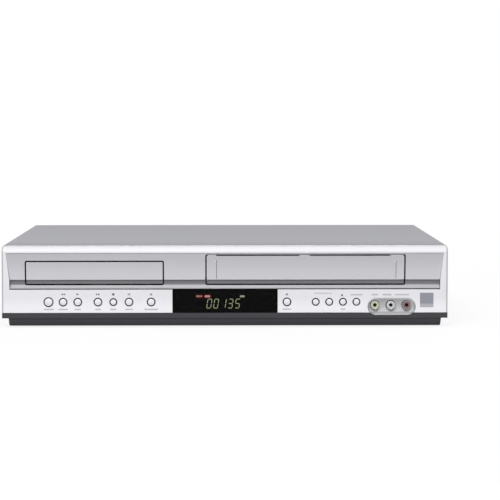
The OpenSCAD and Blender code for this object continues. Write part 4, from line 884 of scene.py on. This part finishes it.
def make_display_marks():
    """The lit marks over the digits, and the red light round the left ones."""
    red_marks = [rect(x - RED_MARK_HALF, x + RED_MARK_HALF, *RED_MARK_Z) for x in RED_MARK_X]
    marks = (
        ("display_red_marks", RED_GLOW, LIT_T, red_marks),
        ("display_pink_mark", PINK_GLOW, LIT_T, [pill(*PINK_MARK)]),
        ("display_red_halo", HALO_GLOW, HALO_T, [pill(*RED_HALO)]),
        ("display_pale_mark", PALE_GLOW, LIT_T, [pill(*PALE_MARK)]),
    )
    for name, lit, thick, outlines in marks:
        bm = bmesh.new()
        for outline in outlines:
            raise_outline(bm, outline, LIT_Y, thick)
        add_piece(name, bm, [lit])


# ---- sockets ----
def socket_insert(bm, x, z, face_y, way):
    """The coloured ring in a socket's mouth. way is -1 where the socket faces the front, 1 where the back."""
    back = face_y - way * (SOCKET_RING_DEPTH + INSERT_SINK)
    out = face_y - way * INSERT_SET_BACK
    r0, r1 = SOCKET_BORE_R + INSERT_PLAY, SOCKET_RING_R - INSERT_PLAY
    inner, outer_r, outer_y = INSERT_INNER_ROUND, *INSERT_OUTER_ROUND
    turn_profile(bm, [(r0, back), (r0, out - way * inner), (r0 + inner, out), (r1 - outer_r, out),
                      (r1, out - way * outer_y), (r1, back), (r0, back)], x, z)


def make_front_inserts():
    """The coloured rings of the three front sockets."""
    for x, colour in zip(FRONT_SOCKET_X, ("yellow", "white", "red")):
        bm = bmesh.new()
        socket_insert(bm, x, FRONT_SOCKET_Z, FRONT_SOCKET_Y, -1)
        add_piece("front_insert_" + colour, bm, [FINISH["front_" + colour]],
                  smooth=ROUND_ANGLE)


def make_rear_inserts():
    """One piece for each colour of the rear sockets' rings."""
    for colour in ("yellow", "white", "red", "green", "blue", "orange"):
        bm = bmesh.new()
        for column, pair in enumerate(REAR_COLOURS):
            for z, title in zip(REAR_SOCKET_Z, pair):
                if title == colour:
                    socket_insert(bm, REAR_SOCKET_X0 + column * REAR_SOCKET_PITCH, z, REAR_TIP_Y, 1)
        add_piece("rear_insert_" + colour, bm, [FINISH["insert_" + colour]],
                  smooth=ROUND_ANGLE)


def thread_profile():
    """The ridges of an aerial connector's thread, as (radius, y)."""
    root, foot = COAX_R - THREAD_ROOT, COAX_R - THREAD_FOOT
    points = [(foot, THREAD_Y)]
    for i in range(THREAD_TURNS):
        points += [(root, THREAD_Y + i * THREAD_PITCH + THREAD_FLAT),
                   (COAX_R + THREAD_CREST, THREAD_Y + (i + 0.5) * THREAD_PITCH)]
    end = THREAD_Y + THREAD_TURNS * THREAD_PITCH
    return points + [(root, end), (foot, end)]


def make_coax_threads():
    """Threads and nuts on the two aerial connectors."""
    bm = bmesh.new()
    for z in COAX_Z:
        turn_profile(bm, thread_profile(), COAX_X, z, THREAD_SEGMENTS)
    add_piece("coax_threads", bm, [FINISH["screw_steel"]], smooth=STEEL_ANGLE)
    bm = bmesh.new()
    for z in COAX_Z:
        raise_disc(bm, COAX_X, z, NUT_R, NUT_Y, NUT_T, 6)
    nut = add_piece("coax_nuts", bm, [FINISH["screw_steel"]])
    soften(nut, NUT_ROUND)


def soften(piece, width, segments=2):
    """Rounds a piece's edges."""
    bevel = piece.modifiers.new("soft_edges", "BEVEL")
    bevel.width = width * MM
    bevel.segments = segments
    bevel.limit_method = "ANGLE"
    bevel.angle_limit = math.radians(ROUND_ANGLE)


# ---- screws ----
def cross_recess(bm, ring, x, z, top, r, deep):
    """Closes a screw head's flat top inside its ring of points and sinks the cross into it."""
    arm, wide = r * ARM_SHARE, r * SLOT_SHARE
    cross = [(arm, -wide), (arm, wide), (wide, wide), (wide, arm), (-wide, arm), (-wide, wide), (-arm, wide),
             (-arm, -wide), (-wide, -wide), (-wide, -arm), (wide, -arm), (wide, -wide)]
    inner = [bm.verts.new((x + a, top, z + b)) for a, b in cross]
    rims = [bm.edges.new((rim[i - 1], rim[i])) for rim in (ring, inner) for i in range(len(rim))]
    bmesh.ops.triangle_fill(bm, edges=rims, use_beauty=True)
    middle = [f for f in bm.faces if all(v in inner for v in f.verts)]
    bmesh.ops.delete(bm, geom=middle, context="FACES_ONLY")
    walls = bmesh.ops.extrude_edge_only(bm, edges=rims[len(ring):])["geom"]
    floor = [v for v in walls if isinstance(v, bmesh.types.BMVert)]
    bmesh.ops.translate(bm, verts=floor, vec=(0, -deep, 0))
    bmesh.ops.contextual_create(bm, geom=[e for e in walls if isinstance(e, bmesh.types.BMEdge)])


def cross_head(bm, x, z, y, r, high, shank_r, tip_y):
    """A pan head screw with a cross recess, standing out along +y, with its plain shank."""
    top = y + high
    crown = r * CROWN_SHARE
    turns = [2 * math.pi * i / HEAD_SIDES for i in range(HEAD_SIDES)]
    ring = [bm.verts.new((x + crown * math.cos(a), top, z + crown * math.sin(a))) for a in turns]
    cross_recess(bm, ring, x, z, top, r, high * RECESS_SHARE)
    shoulder = [(r * wide, top - high * down) for wide, down in HEAD_STEPS]
    turn_profile(bm, [(crown, top), *shoulder, (r, y), (shank_r, y), (shank_r, tip_y),
                      (shank_r * TIP_SHARE, tip_y - TIP_L)], x, z, HEAD_SIDES)


def make_screws():
    """The nine case and board screws with cross recesses."""
    bm = bmesh.new()
    for x in LIP_SCREW_X:
        cross_head(bm, x, LIP_SCREW_Z, COVER_BACK_Y, *LIP_SCREW)
    for x in POST_SCREW_X:
        cross_head(bm, x, POST_SCREW_Z, BOARD_BACK_Y, *POST_SCREW)
    screws = add_piece("case_screws_cross", bm, [FINISH["screw_steel"]],
                       smooth=STEEL_ANGLE)
    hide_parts("case_screws")


# ---- rear shade screen ----
def make_vent_shade_screen():
    """A dark screen of painted shade on the inside of the rear vents."""
    bm = bmesh.new()
    raise_outline(bm, rect(*SCREEN), REAR_SHEET_Y - SCREEN_IN, SCREEN_T)
    screen = add_piece("vent_shade_screen", bm, [FINISH["vent_shade_black"]])
    soften(screen, SCREEN_ROUND, 1)


# ---- painted highlights on the tape door ----
def make_door_glints():
    """A painted highlight: a small bright point at the top of each moulded line on the tape door."""
    bm = bmesh.new()
    for x in DOOR_GLINT_X:
        raise_disc(bm, x, DOOR_GLINT_Z, DOOR_GLINT_R, DOOR_GLINT_Y, PRINT_T, 16)
    add_piece("tape_door_glints", bm, [FINISH["painted_glint"]], body="tape_door")


# ---- camera, light and floor ----
def make_camera():
    """The camera, in front of the player and a little above it."""
    data = bpy.data.cameras.new("camera")
    data.lens = CAMERA_LENS
    data.sensor_width = SENSOR_W
    camera = bpy.data.objects.new("camera", data)
    camera.location = CAMERA_PLACE
    camera.rotation_euler = (math.radians(CAMERA_TILT), 0.0, math.radians(CAMERA_TURN))
    bpy.context.scene.collection.objects.link(camera)
    bpy.context.scene.camera = camera


def seen_directly(tree):
    """One for rays that show the background itself: seen, mirrored or through glass."""
    path = tree.nodes.new("ShaderNodeLightPath")
    seen = path.outputs["Is Camera Ray"]
    for title in ("Is Glossy Ray", "Is Transmission Ray"):
        seen = math_node(tree, "MAXIMUM", seen, path.outputs[title])
    return seen


def make_world():
    """A white surround where it is seen, and soft light from all sides."""
    world = bpy.data.worlds.new("studio")
    world.use_nodes = True
    bpy.context.scene.world = world
    tree = world.node_tree
    tree.nodes.clear()
    mix = tree.nodes.new("ShaderNodeMixShader")
    feed(tree, mix.inputs[0], seen_directly(tree))
    for socket, (colour, strength) in zip((mix.inputs[1], mix.inputs[2]), (AIR_LIGHT, AIR_SEEN)):
        air = tree.nodes.new("ShaderNodeBackground")
        air.inputs["Color"].default_value = colour
        air.inputs["Strength"].default_value = strength
        feed(tree, socket, air.outputs[0])
    out = tree.nodes.new("ShaderNodeOutputWorld")
    feed(tree, out.inputs["Surface"], mix.outputs[0])


def make_lamp(name, place, size, power):
    """A soft lamp that points at the player."""
    data = bpy.data.lights.new(name, "AREA")
    data.shape = "RECTANGLE"
    data.size, data.size_y = size
    data.energy = power
    lamp = bpy.data.objects.new(name, data)
    lamp.location = place
    lamp.rotation_euler = (Vector(LAMP_AIM) - Vector(place)).to_track_quat("-Z", "Y").to_euler()
    bpy.context.scene.collection.objects.link(lamp)


def floor_share(tree):
    """How much of the seen floor is plain white: all of it far away, less near the player's shadow."""
    away = vector_node(tree, "LENGTH", object_place(tree), (0.0, 0.0, 0.0))
    share = tree.nodes.new("ShaderNodeMapRange")
    feed(tree, share.inputs["Value"], away)
    share.inputs["From Min"].default_value = GLOW_NEAR
    share.inputs["From Max"].default_value = GLOW_FAR
    share.inputs["To Min"].default_value = FLOOR_GLOW
    return math_node(tree, "MULTIPLY", seen_directly(tree), share.outputs["Result"])


def floor_material():
    """A matt floor that shows white and keeps the player's shadow."""
    material = bpy.data.materials.new("floor_white")
    material.use_nodes = True
    tree = material.node_tree
    tree.nodes.clear()
    matt = tree.nodes.new("ShaderNodeBsdfDiffuse")
    feed(tree, matt.inputs["Color"], mix_colour(tree, seen_directly(tree), FLOOR_LIT, FLOOR_SEEN))
    bright = tree.nodes.new("ShaderNodeEmission")
    bright.inputs["Color"].default_value = (1.0, 1.0, 1.0, 1.0)
    bright.inputs["Strength"].default_value = 1.0
    mix = tree.nodes.new("ShaderNodeMixShader")
    feed(tree, mix.inputs[0], floor_share(tree))
    feed(tree, mix.inputs[1], matt.outputs[0])
    feed(tree, mix.inputs[2], bright.outputs[0])
    out = tree.nodes.new("ShaderNodeOutputMaterial")
    feed(tree, out.inputs["Surface"], mix.outputs[0])
    return material


def make_floor():
    """A wide plain floor just under the feet."""
    bm = bmesh.new()
    place = Matrix.Translation((0, 0, FLOOR_Z))
    bmesh.ops.create_grid(bm, x_segments=1, y_segments=1, size=FLOOR_HALF, matrix=place)
    mesh = bpy.data.meshes.new("floor")
    bm.to_mesh(mesh)
    bm.free()
    floor = bpy.data.objects.new("floor", mesh)
    bpy.context.scene.collection.objects.link(floor)
    mesh.materials.append(floor_material())


def make_studio():
    """The lamps, the surround and the floor."""
    for lamp in LAMPS:
        make_lamp(*lamp)
    make_world()
    make_floor()


make_camera()
make_studio()
dress_nodes()
make_front_symbols()
make_front_rules()
make_button_shadow_rims()
make_label_square()
make_digits()
make_display_marks()
make_front_inserts()
make_door_glints()
make_rear_inserts()
make_coax_threads()
make_screws()
make_vent_shade_screen()

bpy.context.scene.view_settings.view_transform = "Standard"
